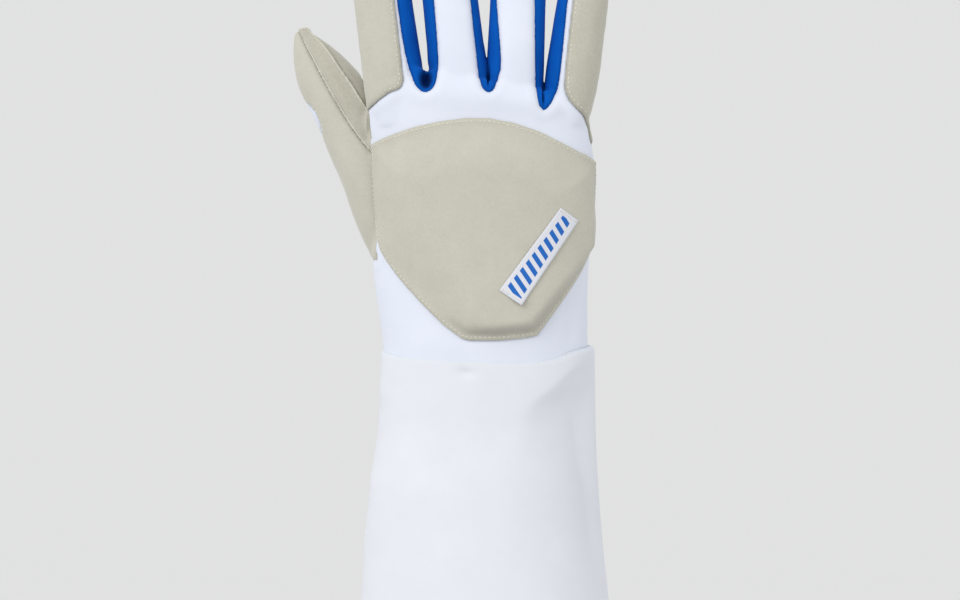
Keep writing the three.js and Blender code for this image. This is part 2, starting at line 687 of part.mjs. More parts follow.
function addPiece(name, piece, material) {
  const { vertProperties, triVerts } = piece.getMesh()
  const geometry = new THREE.BufferGeometry()
  geometry.setAttribute('position', new THREE.BufferAttribute(new Float32Array(vertProperties), 3))
  geometry.setIndex(new THREE.BufferAttribute(new Uint32Array(triVerts), 1))
  geometry.computeVertexNormals()
  const mesh = new THREE.Mesh(geometry, material)
  mesh.name = name
  glove.add(mesh)
}

addPiece('palm_panel', palmPanel, suede)
addPiece('back_panel', backPanel, whiteCloth)
for (const { name, piece } of fourchettes) addPiece(name, piece, blueKnit)
for (const { name, piece } of thumbPieces) {
  addPiece(name, piece, name === 'thumb_gusset' ? whiteCloth : suede)
}
addPiece('index_patch', indexPatch, suede)
addPiece('little_patch', littlePatch, suede)
addPiece('back_pad', backPad, suede)
addPiece('label', solid(labelSolid()), labelTape)
addPiece('cuff', solid(cuffSolid()), cuffCloth)

export default glove
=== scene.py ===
import math

import bmesh
import bpy
import numpy as np
from mathutils import Matrix, Vector, kdtree, noise
from mathutils.bvhtree import BVHTree


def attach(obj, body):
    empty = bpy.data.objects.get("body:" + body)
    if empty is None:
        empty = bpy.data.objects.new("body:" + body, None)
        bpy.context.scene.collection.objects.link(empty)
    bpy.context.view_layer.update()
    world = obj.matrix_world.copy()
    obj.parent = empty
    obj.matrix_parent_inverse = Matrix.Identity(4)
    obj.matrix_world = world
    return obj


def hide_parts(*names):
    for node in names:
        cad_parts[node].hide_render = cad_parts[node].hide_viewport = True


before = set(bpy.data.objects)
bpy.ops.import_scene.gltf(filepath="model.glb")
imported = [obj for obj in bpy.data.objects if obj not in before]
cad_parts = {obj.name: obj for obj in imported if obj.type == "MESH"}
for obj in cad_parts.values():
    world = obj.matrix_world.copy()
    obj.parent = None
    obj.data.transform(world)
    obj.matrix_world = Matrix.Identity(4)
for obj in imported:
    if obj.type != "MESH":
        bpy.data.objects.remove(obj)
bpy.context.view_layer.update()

# The room
# The camera stands level with the glove and square on to the back of the hand, with a long lens.
# A pale round floor curves up into a pale wall, and wide soft lights stand to the upper left and the right.
CAMERA_PLACE = (-0.0025, -1.5, 0.02115)
LENS_MM = 125
FLOOR_HEIGHT = -0.1662
FLOOR_RADIUS = 2.1
COVE_RADIUS = 1.4
WALL_HEIGHT = 3.6
COVE_STEPS = 24
ROOM_SIDES = 96
WALL_COLOUR = (0.83, 0.83, 0.815, 1)
WALL_LIGHT = (1, 0.995, 0.975, 1)
WALL_GLOW = 0.17
DAYLIGHT_COLOUR = (0.97, 0.985, 1, 1)
DAYLIGHT = 0.72

camera_lens = bpy.data.cameras.new("camera")
camera_lens.lens = LENS_MM
camera_lens.sensor_width = 36
camera = bpy.data.objects.new("camera", camera_lens)
camera.location = CAMERA_PLACE
camera.rotation_euler = (math.pi / 2, 0, 0)
bpy.context.collection.objects.link(camera)
bpy.context.scene.camera = camera
bpy.context.scene.view_settings.view_transform = "Standard"
glove_pieces = bpy.data.collections.new("glove_pieces")
bpy.context.scene.collection.children.link(glove_pieces)


def linked(name, mesh, group=glove_pieces):
    """A bmesh made an object of the scene, with smooth shading."""
    data = bpy.data.meshes.new(name)
    for face in mesh.faces:
        face.smooth = True
    mesh.to_mesh(data)
    mesh.free()
    piece = bpy.data.objects.new(name, data)
    group.objects.link(piece)
    return piece


def new_material(name):
    material = bpy.data.materials.new(name)
    material.use_nodes = True
    return material, material.node_tree.nodes["Principled BSDF"]


room_mesh = bmesh.new()
profile = [room_mesh.verts.new((0, 0, FLOOR_HEIGHT)), room_mesh.verts.new((FLOOR_RADIUS, 0, FLOOR_HEIGHT))]
for step in range(1, COVE_STEPS + 1):
    turn = math.pi / 2 * step / COVE_STEPS
    out = FLOOR_RADIUS + COVE_RADIUS * math.sin(turn)
    rise = FLOOR_HEIGHT + COVE_RADIUS * (1 - math.cos(turn))
    profile.append(room_mesh.verts.new((out, 0, rise)))
profile.append(room_mesh.verts.new((FLOOR_RADIUS + COVE_RADIUS, 0, WALL_HEIGHT)))
profile_edges = [room_mesh.edges.new(pair) for pair in zip(profile, profile[1:])]
bmesh.ops.spin(room_mesh, geom=profile + profile_edges, cent=(0, 0, 0), axis=(0, 0, 1), dvec=(0, 0, 0),
               angle=2 * math.pi, steps=ROOM_SIDES, use_merge=True, use_duplicate=False)
bmesh.ops.remove_doubles(room_mesh, verts=room_mesh.verts, dist=1e-5)
bmesh.ops.recalc_face_normals(room_mesh, faces=room_mesh.faces)
if sum(face.normal.z for face in room_mesh.faces) < 0:
    bmesh.ops.reverse_faces(room_mesh, faces=room_mesh.faces)
# The camera sees the room, but the room throws neither light nor shadow on the glove.
room = linked("room", room_mesh, bpy.context.scene.collection)
wall_paint, wall_shader = new_material("wall_paint")
wall_shader.inputs["Base Color"].default_value = WALL_COLOUR
wall_shader.inputs["Roughness"].default_value = 0.9
wall_shader.inputs["Specular IOR Level"].default_value = 0
wall_shader.inputs["Emission Color"].default_value = WALL_LIGHT
wall_shader.inputs["Emission Strength"].default_value = WALL_GLOW
room.data.materials.append(wall_paint)
room.visible_shadow = False
room.visible_diffuse = False

LIGHTS = dict(
    upper_left_light=dict(place=(-1.5, -1.5, 1.5), across=1.6, watts=34, colour=(1, 0.985, 0.96)),
    right_light=dict(place=(1.7, -1.3, 0.6), across=1.4, watts=7.5, colour=(1, 0.98, 0.94)),
    behind_light=dict(place=(0.3, 1.7, 1.6), across=1.6, watts=12, colour=(1, 1, 1)),
)
for name, row in LIGHTS.items():
    lamp = bpy.data.lights.new(name, "AREA")
    lamp.size = row["across"]
    lamp.energy = row["watts"]
    lamp.color = row["colour"]
    light = bpy.data.objects.new(name, lamp)
    light.location = row["place"]
    light.rotation_euler = (-Vector(row["place"])).to_track_quat("-Z", "Y").to_euler()
    light.visible_camera = False
    light.light_linking.receiver_collection = glove_pieces
    bpy.context.collection.objects.link(light)
world = bpy.data.worlds.new("daylight")
world.use_nodes = True
world.node_tree.nodes["Background"].inputs["Color"].default_value = DAYLIGHT_COLOUR
world.node_tree.nodes["Background"].inputs["Strength"].default_value = DAYLIGHT
bpy.context.scene.world = world

# The hand's cloth, before it is cut
# A glove's panels are cut flat and sewn into the form of a hand. Here that form comes first, as one even skin
# over the palm, four fingers and thumb, and the panels are then cut out of it along their seams.
MM = 0.001
SKIN_STEP = 0.78
SKIN_SMOOTHING = 6
PALM_LENGTH = 112
WRIST_WIDTH = 91.6
WRIST_DEPTH = 54
KNUCKLE_WIDTH = 100
KNUCKLE_DEPTH = 34
# Under the cuff the cloth runs on by TUCK, and from TUCK_FROM down it steps in, to lie clear of the cuff.
TUCK = 14
TUCK_FROM = -8
TUCK_STEP = 2
TUCK_SLOPE = 4
# rise is a share of the palm's length. broad and flat go from the wrist's size at 0 to the knuckles' at 1.
# side and fore place the middle, as shares of the knuckles' width and depth. tilt is in degrees.
PALM_ROWS = [
    dict(rise=0.01, broad=0, flat=0, side=0, fore=0.09, tilt=0, square=2.2),
    dict(rise=0.18, broad=0.36, flat=0.15, side=-0.014, fore=0.11, tilt=0, square=2.2),
    dict(rise=0.36, broad=0.72, flat=0.4, side=-0.021, fore=0.12, tilt=0, square=2.2),
    dict(rise=0.57, broad=0.84, flat=0.62, side=-0.008, fore=0.11, tilt=0, square=2.3),
    dict(rise=0.79, broad=1, flat=0.85, side=-0.016, fore=0.06, tilt=1, square=2.4),
    dict(rise=0.92, broad=0.97, flat=1, side=-0.037, fore=0.015, tilt=3, square=2.5),
    dict(rise=1, broad=0.55, flat=1.1, side=-0.03, fore=-0.03, tilt=6, square=2.5),
    dict(rise=1.075, broad=-0.45, flat=1.5, side=-0.03, fore=-0.06, tilt=10, square=2.5),
]
FINGER_ROOT = 100
FINGER_LENGTH = 108.5
FINGER_WIDTH = 26.2
FINGER_DEPTH = 26
FINGER_FORE = -2
FINGER_CURL = 13
FINGER_BASE = 0.34
FINGER_SQUARE = 2.3
# root is a share of the knuckles' width, lean is degrees towards the little finger, and the sizes are shares
# of the middle finger's. base is how wide the finger starts, and that ends FINGER_BASE of its length up.
FINGERS = dict(
    index=dict(root=-0.38, lean=-7.9, length=0.894, width=1, depth=0.98, base=1.07),
    middle=dict(root=-0.096, lean=-6.4, length=1, width=0.985, depth=1, base=1.15),
    ring=dict(root=0.1235, lean=2.3, length=0.917, width=0.99, depth=0.96, base=1),
    little=dict(root=0.352, lean=8.4, length=0.7, width=0.9, depth=0.865, base=0.9),
)
FINGER_ROWS = [
    dict(along=0, width=0.86, depth=0.84),
    dict(along=0.14, width=0.98, depth=0.96),
    dict(along=0.34, width=0.99, depth=1),
    dict(along=0.5, width=0.97, depth=0.94),
    dict(along=0.63, width=0.96, depth=0.96),
    dict(along=0.8, width=0.9, depth=0.88),
    dict(along=0.91, width=0.76, depth=0.74),
    dict(along=0.97, width=0.52, depth=0.52),
    dict(along=1, width=0.22, depth=0.24),
]
THUMB_ROOT = np.array((-0.34 * KNUCKLE_WIDTH, 0.15 * WRIST_DEPTH, 0.4 * PALM_LENGTH))
THUMB_REACH = np.array((-51.5, 19, 101))
THUMB_WIDTH = 28
THUMB_DEPTH = 29
# along and fore are shares of the thumb's reach, and aside is a share of its width, towards the index finger.
THUMB_ROWS = [
    dict(along=0, aside=-0.057, fore=0, width=1.13, depth=0.74),
    dict(along=0.194, aside=-0.079, fore=0.09, width=1.04, depth=0.95),
    dict(along=0.335, aside=-0.02, fore=0.2, width=1, depth=1.02),
    dict(along=0.467, aside=0.029, fore=0.34, width=1.03, depth=1),
    dict(along=0.573, aside=0.057, fore=0.47, width=1.02, depth=0.98),
    dict(along=0.679, aside=0.061, fore=0.6, width=1, depth=0.94),
    dict(along=0.75, aside=0.027, fore=0.7, width=0.95, depth=0.9),
    dict(along=0.838, aside=0, fore=0.82, width=0.77, depth=0.78),
    dict(along=0.926, aside=-0.007, fore=0.93, width=0.46, depth=0.52),
    dict(along=0.985, aside=0.01, fore=0.985, width=0.2, depth=0.24),
]
# The skin would close the narrow gaps between the fingers. So the fingers are spread while it is made, and
# brought back afterwards. bottom is where a gap ends, a share of the palm's length. Over GAP_RISE below that,
# the gap opens to GAP_SPREAD, and what lies within GAP_REACH of its middle is stretched.
FINGER_GAPS = [
    dict(left="index", right="middle", bottom=1.09),
    dict(left="middle", right="ring", bottom=1.07),
    dict(left="ring", right="little", bottom=1.01),
]
GAP_SPREAD = 3.4
GAP_REACH = 0.5
GAP_RISE = 9
PALM_RINGS, PALM_SIDES = 70, 72
FINGER_RINGS, FINGER_SIDES = 60, 48
THUMB_LENGTH = float(np.linalg.norm(THUMB_REACH))
thumb_along = THUMB_REACH / THUMB_LENGTH
thumb_across = np.cross((0, 1, 0), thumb_along)
thumb_across /= np.linalg.norm(thumb_across)
thumb_out = -np.cross(thumb_along, thumb_across)


def between_rows(rows, places):
    """Each column at the places, on smooth curves through the rows. The first column is the place."""
    names = list(rows[0])
    table = np.array([[row[name] for name in names] for row in rows], float)
    along = table[:, 0]
    places = np.clip(places, along[0], along[-1])
    slopes = np.gradient(table, along, axis=0)
    low = np.clip(np.searchsorted(along, places, side="right") - 1, 0, len(along) - 2)
    span = (along[low + 1] - along[low])[:, None]
    share = (places - along[low])[:, None] / span
    start = (1 + 2 * share) * table[low] + share * span * slopes[low]
    end = (3 - 2 * share) * table[low + 1] - (1 - share) * span * slopes[low + 1]
    return dict(zip(names, ((1 - share) ** 2 * start + share ** 2 * end).T))


def mix(low, high, share):
    return low + (high - low) * share


def ease(share):
    """From 0 to 1 with a soft start and end."""
    share = np.clip(share, 0, 1)
    return share * share * (3 - 2 * share)


def rings_round(middles, across, through, half_widths, half_depths, squares, sides):
    """Squared ellipses round their middles, one row of points for each: 2 is round, and more is squarer."""
    turn = 2 * np.pi * np.arange(sides) / sides
    power = (2 / squares)[:, None]
    wide = np.sign(np.cos(turn)) * np.abs(np.cos(turn)) ** power * half_widths[:, None]
    deep = np.sign(np.sin(turn)) * np.abs(np.sin(turn)) ** power * half_depths[:, None]
    return middles[:, None] + wide[..., None] * across[:, None] + deep[..., None] * through[:, None]


def unit(vectors):
    return vectors / np.linalg.norm(vectors, axis=-1, keepdims=True)


def rings_along(path, half_widths, half_depths, sides):
    """Rings square to a path, with their width from side to side."""
    along = unit(np.gradient(path, axis=0))
    across = unit(np.cross((0, 1, 0), along))
    through = np.cross(along, across)
    squares = np.full(len(path), FINGER_SQUARE)
    return rings_round(path, across, through, half_widths, half_depths, squares, sides)


def closed_tube(mesh, rings):
    """A grid drawn round the rings of points, with both ends closed."""
    last, sides = rings.shape[0] - 1, rings.shape[1]
    grid = bmesh.ops.create_grid(mesh, x_segments=sides, y_segments=last, size=0.5)["verts"]
    for vertex in grid:
        side = round((vertex.co.x + 0.5) * sides) % sides
        ring = round((vertex.co.y + 0.5) * last)
        vertex.co = rings[ring, side] * MM
    bmesh.ops.remove_doubles(mesh, verts=grid, dist=1e-7)
    bmesh.ops.holes_fill(mesh, edges=[edge for edge in mesh.edges if edge.is_boundary], sides=0)


def palm_sizes(heights):
    """The palm's middle line and half sizes at each height."""
    row = between_rows(PALM_ROWS, heights / PALM_LENGTH)
    tuck = TUCK_STEP * ease((TUCK_FROM - heights) / TUCK_SLOPE)
    return dict(
        middle_x=row["side"] * KNUCKLE_WIDTH,
        middle_y=row["fore"] * KNUCKLE_DEPTH,
        half_width=mix(WRIST_WIDTH, KNUCKLE_WIDTH, row["broad"]) / 2 - tuck,
        half_depth=mix(WRIST_DEPTH, KNUCKLE_DEPTH, row["flat"]) / 2 - tuck,
        square=row["square"],
        tilt=np.radians(row["tilt"]),
    )


def bend_at(height):
    """How far the fingers lean towards the palm's side at a height."""
    return FINGER_FORE + FINGER_CURL * (np.maximum(0, height - FINGER_ROOT) / FINGER_LENGTH) ** 2


def finger_axis(finger, height):
    return finger["root"] * KNUCKLE_WIDTH + np.tan(np.radians(finger["lean"])) * (height - FINGER_ROOT)


def half_width_at(finger, height):
    """Half of a finger's width at each height."""
    along = (height - FINGER_ROOT) / (FINGER_LENGTH * finger["length"])
    swell = mix(finger["base"], 1, np.clip(along / FINGER_BASE, 0, 1))
    width = np.interp(along, [row["along"] for row in FINGER_ROWS], [row["width"] for row in FINGER_ROWS])
    return width * swell * FINGER_WIDTH * finger["width"] / 2


def gaps_at(height):
    """Each gap between two fingers: its middle in the spread glove, and how far it is opened."""
    moved = 0
    for gap in FINGER_GAPS:
        left, right = FINGERS[gap["left"]], FINGERS[gap["right"]]
        left_edge = finger_axis(left, height) + half_width_at(left, height)
        right_edge = finger_axis(right, height) - half_width_at(right, height)
        opened = GAP_SPREAD * ease((height - gap["bottom"] * PALM_LENGTH + GAP_RISE) / GAP_RISE)
        yield (left_edge + right_edge) / 2 + moved, opened
        moved = moved + opened


def spread_out(points):
    """Points moved to where they lie while the fingers are spread."""
    points = points.copy()
    for middle, opened in gaps_at(points[..., 2]):
        points[..., 0] += opened * np.clip((points[..., 0] - middle) / (2 * GAP_REACH) + 0.5, 0, 1)
    return points


def brought_back(points):
    """Points moved back from where they lie while the fingers are spread."""
    points = points.copy()
    for middle, opened in reversed(list(gaps_at(points[..., 2]))):
        share = (points[..., 0] - middle + GAP_REACH) / (2 * GAP_REACH + opened)
        points[..., 0] -= opened * np.clip(share, 0, 1)
    return points


form = bmesh.new()
heights = np.linspace(-TUCK - 4, PALM_LENGTH * PALM_ROWS[-1]["rise"], PALM_RINGS)
palm = palm_sizes(heights)
flat = np.zeros_like(heights)
palm_rings = rings_round(
    np.stack((palm["middle_x"], palm["middle_y"], heights), 1),
    np.stack((np.cos(palm["tilt"]), flat, -np.sin(palm["tilt"])), 1),
    np.stack((flat, flat + 1, flat), 1),
    palm["half_width"], palm["half_depth"], palm["square"], PALM_SIDES)
closed_tube(form, spread_out(palm_rings))
for finger in FINGERS.values():
    row = between_rows(FINGER_ROWS, np.linspace(0, 1, FINGER_RINGS))
    swell = mix(finger["base"], 1, np.minimum(1, row["along"] / FINGER_BASE))
    rise = row["along"] * FINGER_LENGTH * finger["length"] * np.cos(np.radians(finger["lean"]))
    height = FINGER_ROOT + rise
    path = np.stack((finger_axis(finger, height), bend_at(height), height), 1)
    half_widths = row["width"] * swell * FINGER_WIDTH * finger["width"] / 2
    half_depths = row["depth"] * FINGER_DEPTH * finger["depth"] / 2
    closed_tube(form, spread_out(rings_along(path, half_widths, half_depths, FINGER_SIDES)))
row = between_rows(THUMB_ROWS, np.linspace(0, THUMB_ROWS[-1]["along"], FINGER_RINGS))
thumb_path = THUMB_ROOT + THUMB_REACH * np.stack((row["along"], row["fore"], row["along"]), 1)
thumb_path += thumb_across * row["aside"][:, None] * THUMB_WIDTH
thumb_half_sizes = row["width"] * THUMB_WIDTH / 2, row["depth"] * THUMB_DEPTH / 2
closed_tube(form, rings_along(thumb_path, *thumb_half_sizes, FINGER_SIDES))
bmesh.ops.recalc_face_normals(form, faces=form.faces)

form_piece = linked("form", form)
skin_modifier = form_piece.modifiers.new("skin", "REMESH")
skin_modifier.mode = "VOXEL"
skin_modifier.voxel_size = SKIN_STEP * MM


def finished_mesh(piece):
    """A piece's mesh with its modifiers applied, as a bmesh. The piece itself is taken away."""
    result = bmesh.new()
    result.from_mesh(piece.evaluated_get(bpy.context.evaluated_depsgraph_get()).to_mesh())
    bpy.data.objects.remove(piece)
    return result


hand = finished_mesh(form_piece)
for _ in range(SKIN_SMOOTHING):
    bmesh.ops.smooth_vert(hand, verts=hand.verts, factor=0.5,
                          use_axis_x=True, use_axis_y=True, use_axis_z=True)
bmesh.ops.bisect_plane(hand, geom=hand.verts[:] + hand.edges[:] + hand.faces[:],
                       plane_co=(0, 0, -TUCK * MM), plane_no=(0, 0, 1), clear_inner=True)
for vertex, spot in zip(hand.verts, brought_back(np.array([vertex.co for vertex in hand.verts]) / MM)):
    vertex.co = spot * MM

# The seams
# The panels meet in seams that are sewn inside out, so that the cloth dips into each of them and puckers a
# little beside it. On the thumb, the suede strips are sewn edge to edge, and their seams stand up as welts.
# side and rise are shares of the knuckles' width and the palm's length, seen from the back.
THUMB_SEAM = [
    (-2, 0.35), (-0.488, 0.35), (-0.488, 0.43), (-0.496, 0.59), (-0.511, 0.78), (-0.528, 0.94),
    (-0.546, 1.05), (-0.605, 1.21), (-0.68, 1.9), (-2, 1.9),
]
GUSSET_BLADE = [
    (-1.1, 1.02), (-0.81, 0.985), (-0.79, 0.965), (-0.764, 0.928), (-0.747, 0.872), (-0.742, 0.835),
    (-1.1, 0.8),
]
FORKS = dict(
    index_middle=("index", "middle", [
        (-0.394, 1.385), (-0.367, 1.217), (-0.337, 1.102), (-0.311, 1.042), (-0.273, 1.016), (-0.235, 1.034),
        (-0.216, 1.086), (-0.216, 1.185), (-0.233, 1.385)]),
    middle_ring=("middle", "ring", [
        (-0.065, 1.385), (-0.036, 1.145), (-0.023, 1.058), (-0.008, 1.027), (0.016, 1.016), (0.04, 1.034),
        (0.055, 1.082), (0.067, 1.145), (0.046, 1.385)]),
    ring_little=("ring", "little", [
        (0.222, 1.385), (0.225, 1.086), (0.234, 0.986), (0.246, 0.955), (0.266, 0.946), (0.299, 0.982),
        (0.326, 1.058), (0.343, 1.185), (0.365, 1.385)]),
)
INDEX_PATCH = [
    (-2, 2.1), (-2, 0.954), (-0.525, 0.954), (-0.44, 1.012), (-0.384, 1.034), (-0.373, 1.062),
    (-0.373, 1.09), (-0.41, 1.385), (-0.5, 2.1),
]
LITTLE_PATCH = [
    (0.507, 2.1), (0.394, 1.386), (0.358, 1.087), (0.363, 1.007), (0.404, 0.957), (0.439, 0.927),
    (0.461, 0.879), (0.474, 0.82), (2, 0.82), (2, 2.1),
]
# The two seams on the thumb's back. along is a share of the thumb's length, and aside a share of its width.
BACK_SEAM = [
    dict(along=0.09, aside=0.57),
    dict(along=0.26, aside=0.32),
    dict(along=0.39, aside=0.129),
    dict(along=0.56, aside=0.018),
    dict(along=0.75, aside=-0.018),
    dict(along=0.9, aside=-0.03),
    dict(along=1.05, aside=-0.03),
]
SIDE_SEAM = [
    dict(along=0.3, aside=0.6),
    dict(along=0.44, aside=0.46),
    dict(along=0.56, aside=0.396),
    dict(along=0.65, aside=0.364),
    dict(along=0.765, aside=0.3),
    dict(along=0.826, aside=0.275),
    dict(along=0.92, aside=0.19),
    dict(along=1.05, aside=0.05),
]
# Degrees round the thumb, from its back towards the index finger, of the white strip's two seams. Its outer
# seam swells towards the back, where the strip shows as a blade.
GUSSET_FROM, GUSSET_TO = 205, 262
GUSSET_SWELL, SWELL_RISE, SWELL_REACH = 18, 0.92, 0.16
# The blade's outline only counts beyond this bearing round the thumb and this far out.
BLADE_BEARING, BLADE_OUT = 200, -50
# Below this share of the palm's length, the side seams follow the palm's middle, and above it the fingers'.
SIDE_SEAM_RISE = 0.9
SIDE_SEAM_STEPS = 12
# A height above all fingertips, in millimetres.
ABOVE_ALL = 400
# A seam that passes a vertex nearer than this, in millimetres, runs through the vertex.
NEAR_SEAM = 0.12


def place(outline):
    """An outline's shares made millimetres."""
    return np.array(outline) * (KNUCKLE_WIDTH, PALM_LENGTH)


def rounded(points, steps=5):
    """An open line of points made a smooth curve through them."""
    rows = [dict(at=at, x=x, z=z) for at, (x, z) in enumerate(points)]
    curve = between_rows(rows, np.linspace(0, len(points) - 1, (len(points) - 1) * steps + 1))
    return np.stack((curve["x"], curve["z"]), 1)


def outside(outline, points):
    """How far flat points lie outside a closed outline, below zero where they lie inside it."""
    nearest = np.full(len(points), np.inf)
    inside = np.zeros(len(points), bool)
    for start, end in zip(outline, np.roll(outline, -1, axis=0)):
        edge = end - start
        if not edge.any():
            continue
        share = np.clip((points - start) @ edge / (edge @ edge), 0, 1)
        nearest = np.minimum(nearest, np.linalg.norm(points - start - share[:, None] * edge, axis=1))
        if edge[1]:
            crosses = (start[1] > points[:, 1]) != (end[1] > points[:, 1])
            inside ^= crosses & (points[:, 0] < start[0] + (points[:, 1] - start[1]) * edge[0] / edge[1])
    return np.where(inside, -nearest, nearest)


def fork_outline(left, right, outline):
    """A fork strip's outline. Above its table, each edge keeps to its finger."""
    curve = rounded(place(outline))
    first, last = curve[0], curve[-1]
    first_top = first[0] + finger_axis(FINGERS[left], ABOVE_ALL) - finger_axis(FINGERS[left], first[1])
    last_top = last[0] + finger_axis(FINGERS[right], ABOVE_ALL) - finger_axis(FINGERS[right], last[1])
    return np.vstack(([first_top, ABOVE_ALL], curve, [last_top, ABOVE_ALL]))


def patch_outline(outline):
    """A patch's outline, rounded where it crosses the finger and straight beyond the hand's edges."""
    points = place(outline)
    return np.vstack((points[:2], rounded(points[2:-1]), points[-1:]))


thumb_line = place(THUMB_SEAM)
blade_line = place(GUSSET_BLADE)
blade_line = np.vstack((blade_line[:1], rounded(blade_line[1:-1]), blade_line[-1:]))
fork_lines = {name: fork_outline(*fork) for name, fork in FORKS.items()}
index_line = patch_outline(INDEX_PATCH)
little_points = place(LITTLE_PATCH)
little_line = np.vstack((little_points[:1], rounded(little_points[1:8]), little_points[8:]))


def past_side_seam(points):
    """How far points lie to the palm's side of the side seams."""
    rows = [row for row in PALM_ROWS if row["rise"] < SIDE_SEAM_RISE]
    tops = np.linspace(PALM_LENGTH, FINGER_ROOT + FINGER_LENGTH, SIDE_SEAM_STEPS)
    seam_heights = np.append([row["rise"] * PALM_LENGTH for row in rows], tops)
    seam_depths = np.append([row["fore"] * KNUCKLE_DEPTH for row in rows], bend_at(tops))
    return points[:, 1] - np.interp(points[:, 2], seam_heights, seam_depths)


def thumb_bearing(points):
    """Degrees round the thumb, 0 to 360."""
    from_root = points - THUMB_ROOT
    return np.degrees(np.arctan2(from_root @ thumb_across, from_root @ thumb_out)) % 360


def past_back_seam(points, seam):
    """How far points lie beyond one of the seams on the thumb's back, and whether they are on its back."""
    from_root = points - THUMB_ROOT
    aside = between_rows(seam, from_root @ thumb_along / THUMB_LENGTH)["aside"]
    return from_root @ thumb_across - aside * THUMB_WIDTH, from_root @ thumb_out > 0


def outer_gusset_bearing(points):
    """Where the white strip's outer seam runs, in degrees round the thumb."""
    from_swell = (points[:, 2] / PALM_LENGTH - SWELL_RISE) / SWELL_REACH
    return GUSSET_TO + GUSSET_SWELL * np.exp(-(from_swell ** 2))


def past_bearing(points, bearing):
    """How far points lie beyond a line along the thumb, and whether they are on its side of the thumb."""
    across, out = (points - THUMB_ROOT) @ thumb_across, (points - THUMB_ROOT) @ thumb_out
    turn = np.radians(bearing)
    return np.cos(turn) * across - np.sin(turn) * out, np.cos(turn) * out + np.sin(turn) * across > 0


def places_of(mesh):
    """Every vertex's place in millimetres."""
    mesh.verts.index_update()
    return np.array([vertex.co for vertex in mesh.verts]) / MM


def cut_line(mesh, values, allowed):
    """Cuts the mesh's faces where the values of its vertices pass through zero."""
    line = []
    for edge in mesh.edges[:]:
        first, last = edge.verts
        start, end = values[first.index], values[last.index]
        if start * end >= 0 or not (allowed[first.index] and allowed[last.index]):
            continue
        if abs(start) < NEAR_SEAM or abs(end) < NEAR_SEAM:
            line.append(first if abs(start) < abs(end) else last)
        else:
            line.append(bmesh.utils.edge_split(edge, first, start / (start - end))[1])
    bmesh.ops.connect_verts(mesh, verts=list(dict.fromkeys(line)))


# The cuts add vertices, so this has places to spare.
everywhere = np.ones(len(hand.verts) * 2, bool)
cut_line(hand, past_side_seam(places_of(hand)), everywhere)
cut_line(hand, outside(thumb_line, places_of(hand)[:, ::2]), everywhere)
for line in fork_lines.values():
    cut_line(hand, outside(line, places_of(hand)[:, ::2]), everywhere)
for line in (index_line, little_line):
    spots = places_of(hand)
    on_back = (past_side_seam(spots) < 1) & (outside(thumb_line, spots[:, ::2]) > -1)
    cut_line(hand, outside(line, spots[:, ::2]), on_back)
for seam in (BACK_SEAM, SIDE_SEAM):
    spots = places_of(hand)
    beyond, same_side = past_back_seam(spots, seam)
    cut_line(hand, beyond, same_side & (outside(thumb_line, spots[:, ::2]) < 1))
for outer in (False, True):
    spots = places_of(hand)
    beyond, same_side = past_bearing(spots, outer_gusset_bearing(spots) if outer else GUSSET_FROM)
    cut_line(hand, beyond, same_side & (outside(thumb_line, spots[:, ::2]) < 1))
spots = places_of(hand)
near_blade = (thumb_bearing(spots) > BLADE_BEARING - 2) & (spots[:, 0] < BLADE_OUT)
cut_line(hand, outside(blade_line, spots[:, ::2]), near_blade)


def panels_at(points):
    """The name of the panel that each point of the hand belongs to."""
    flat = points[:, ::2]
    on_back = past_side_seam(points) < 0
    names = np.where(on_back, "back_panel", "palm_panel").astype("U32")
    names[on_back & (outside(index_line, flat) < 0)] = "index_patch"
    names[on_back & (outside(little_line, flat) < 0)] = "little_patch"
    for name, line in fork_lines.items():
        names[outside(line, flat) < 0] = "fourchette_" + name
    on_thumb = outside(thumb_line, flat) < 0
    bearing = thumb_bearing(points)
    past_first, facing = past_back_seam(points, BACK_SEAM)
    past_second = past_back_seam(points, SIDE_SEAM)[0]
    names[on_thumb] = "thumb_back"
    names[on_thumb & facing & (past_first > 0)] = "thumb_side"
    names[on_thumb & facing & (past_first > 0) & (past_second > 0)] = "thumb_palm"
    names[on_thumb & ~facing & (bearing < GUSSET_FROM)] = "thumb_palm"
    between = (bearing >= GUSSET_FROM) & (bearing < outer_gusset_bearing(points))
    in_blade = (outside(blade_line, flat) < 0) & (bearing > BLADE_BEARING)
    names[on_thumb & (between | in_blade)] = "thumb_gusset"
    return names


# The thumb's suede strips, whose seams stand up
LAPPED = {"thumb_back", "thumb_side", "thumb_palm"}
# The panels whose edge lies over the thumb's strips
OVER_THUMB = {"back_panel", "index_patch"}
# Between these shares of the palm's length the guard hides the seam between the thumb and the hand.
HIDDEN_SEAM = (0.37, 0.84)
hand.faces.index_update()
face_panels = panels_at(np.array([face.calc_center_median() for face in hand.faces]) / MM)
seams = {}
for edge in hand.edges:
    sides = frozenset(face_panels[face.index] for face in edge.link_faces)
    if len(sides) == 2:
        seams.setdefault(sides, []).append(edge)


def middles(edges):
    return [(edge.verts[0].co + edge.verts[1].co) / 2 for edge in edges]


def hidden(sides, point):
    under_guard = HIDDEN_SEAM[0] < point.z / MM / PALM_LENGTH < HIDDEN_SEAM[1]
    return under_guard and "back_panel" in sides and bool(sides & LAPPED)


def tree_of(points):
    tree = kdtree.KDTree(len(points))
    for at, point in enumerate(points):
        tree.insert(point, at)
    tree.balance()
    return tree


seam_tree = tree_of([point for sides, edges in seams.items() if not sides <= LAPPED
                     for point in middles(edges) if not hidden(sides, point)])
lapped_tree = tree_of([point for sides, edges in seams.items() if sides <= LAPPED
                       for point in middles(edges)])
hand_edge_tree = tree_of([point for sides, edges in seams.items() if sides & LAPPED and sides & OVER_THUMB
                          for point in middles(edges)])
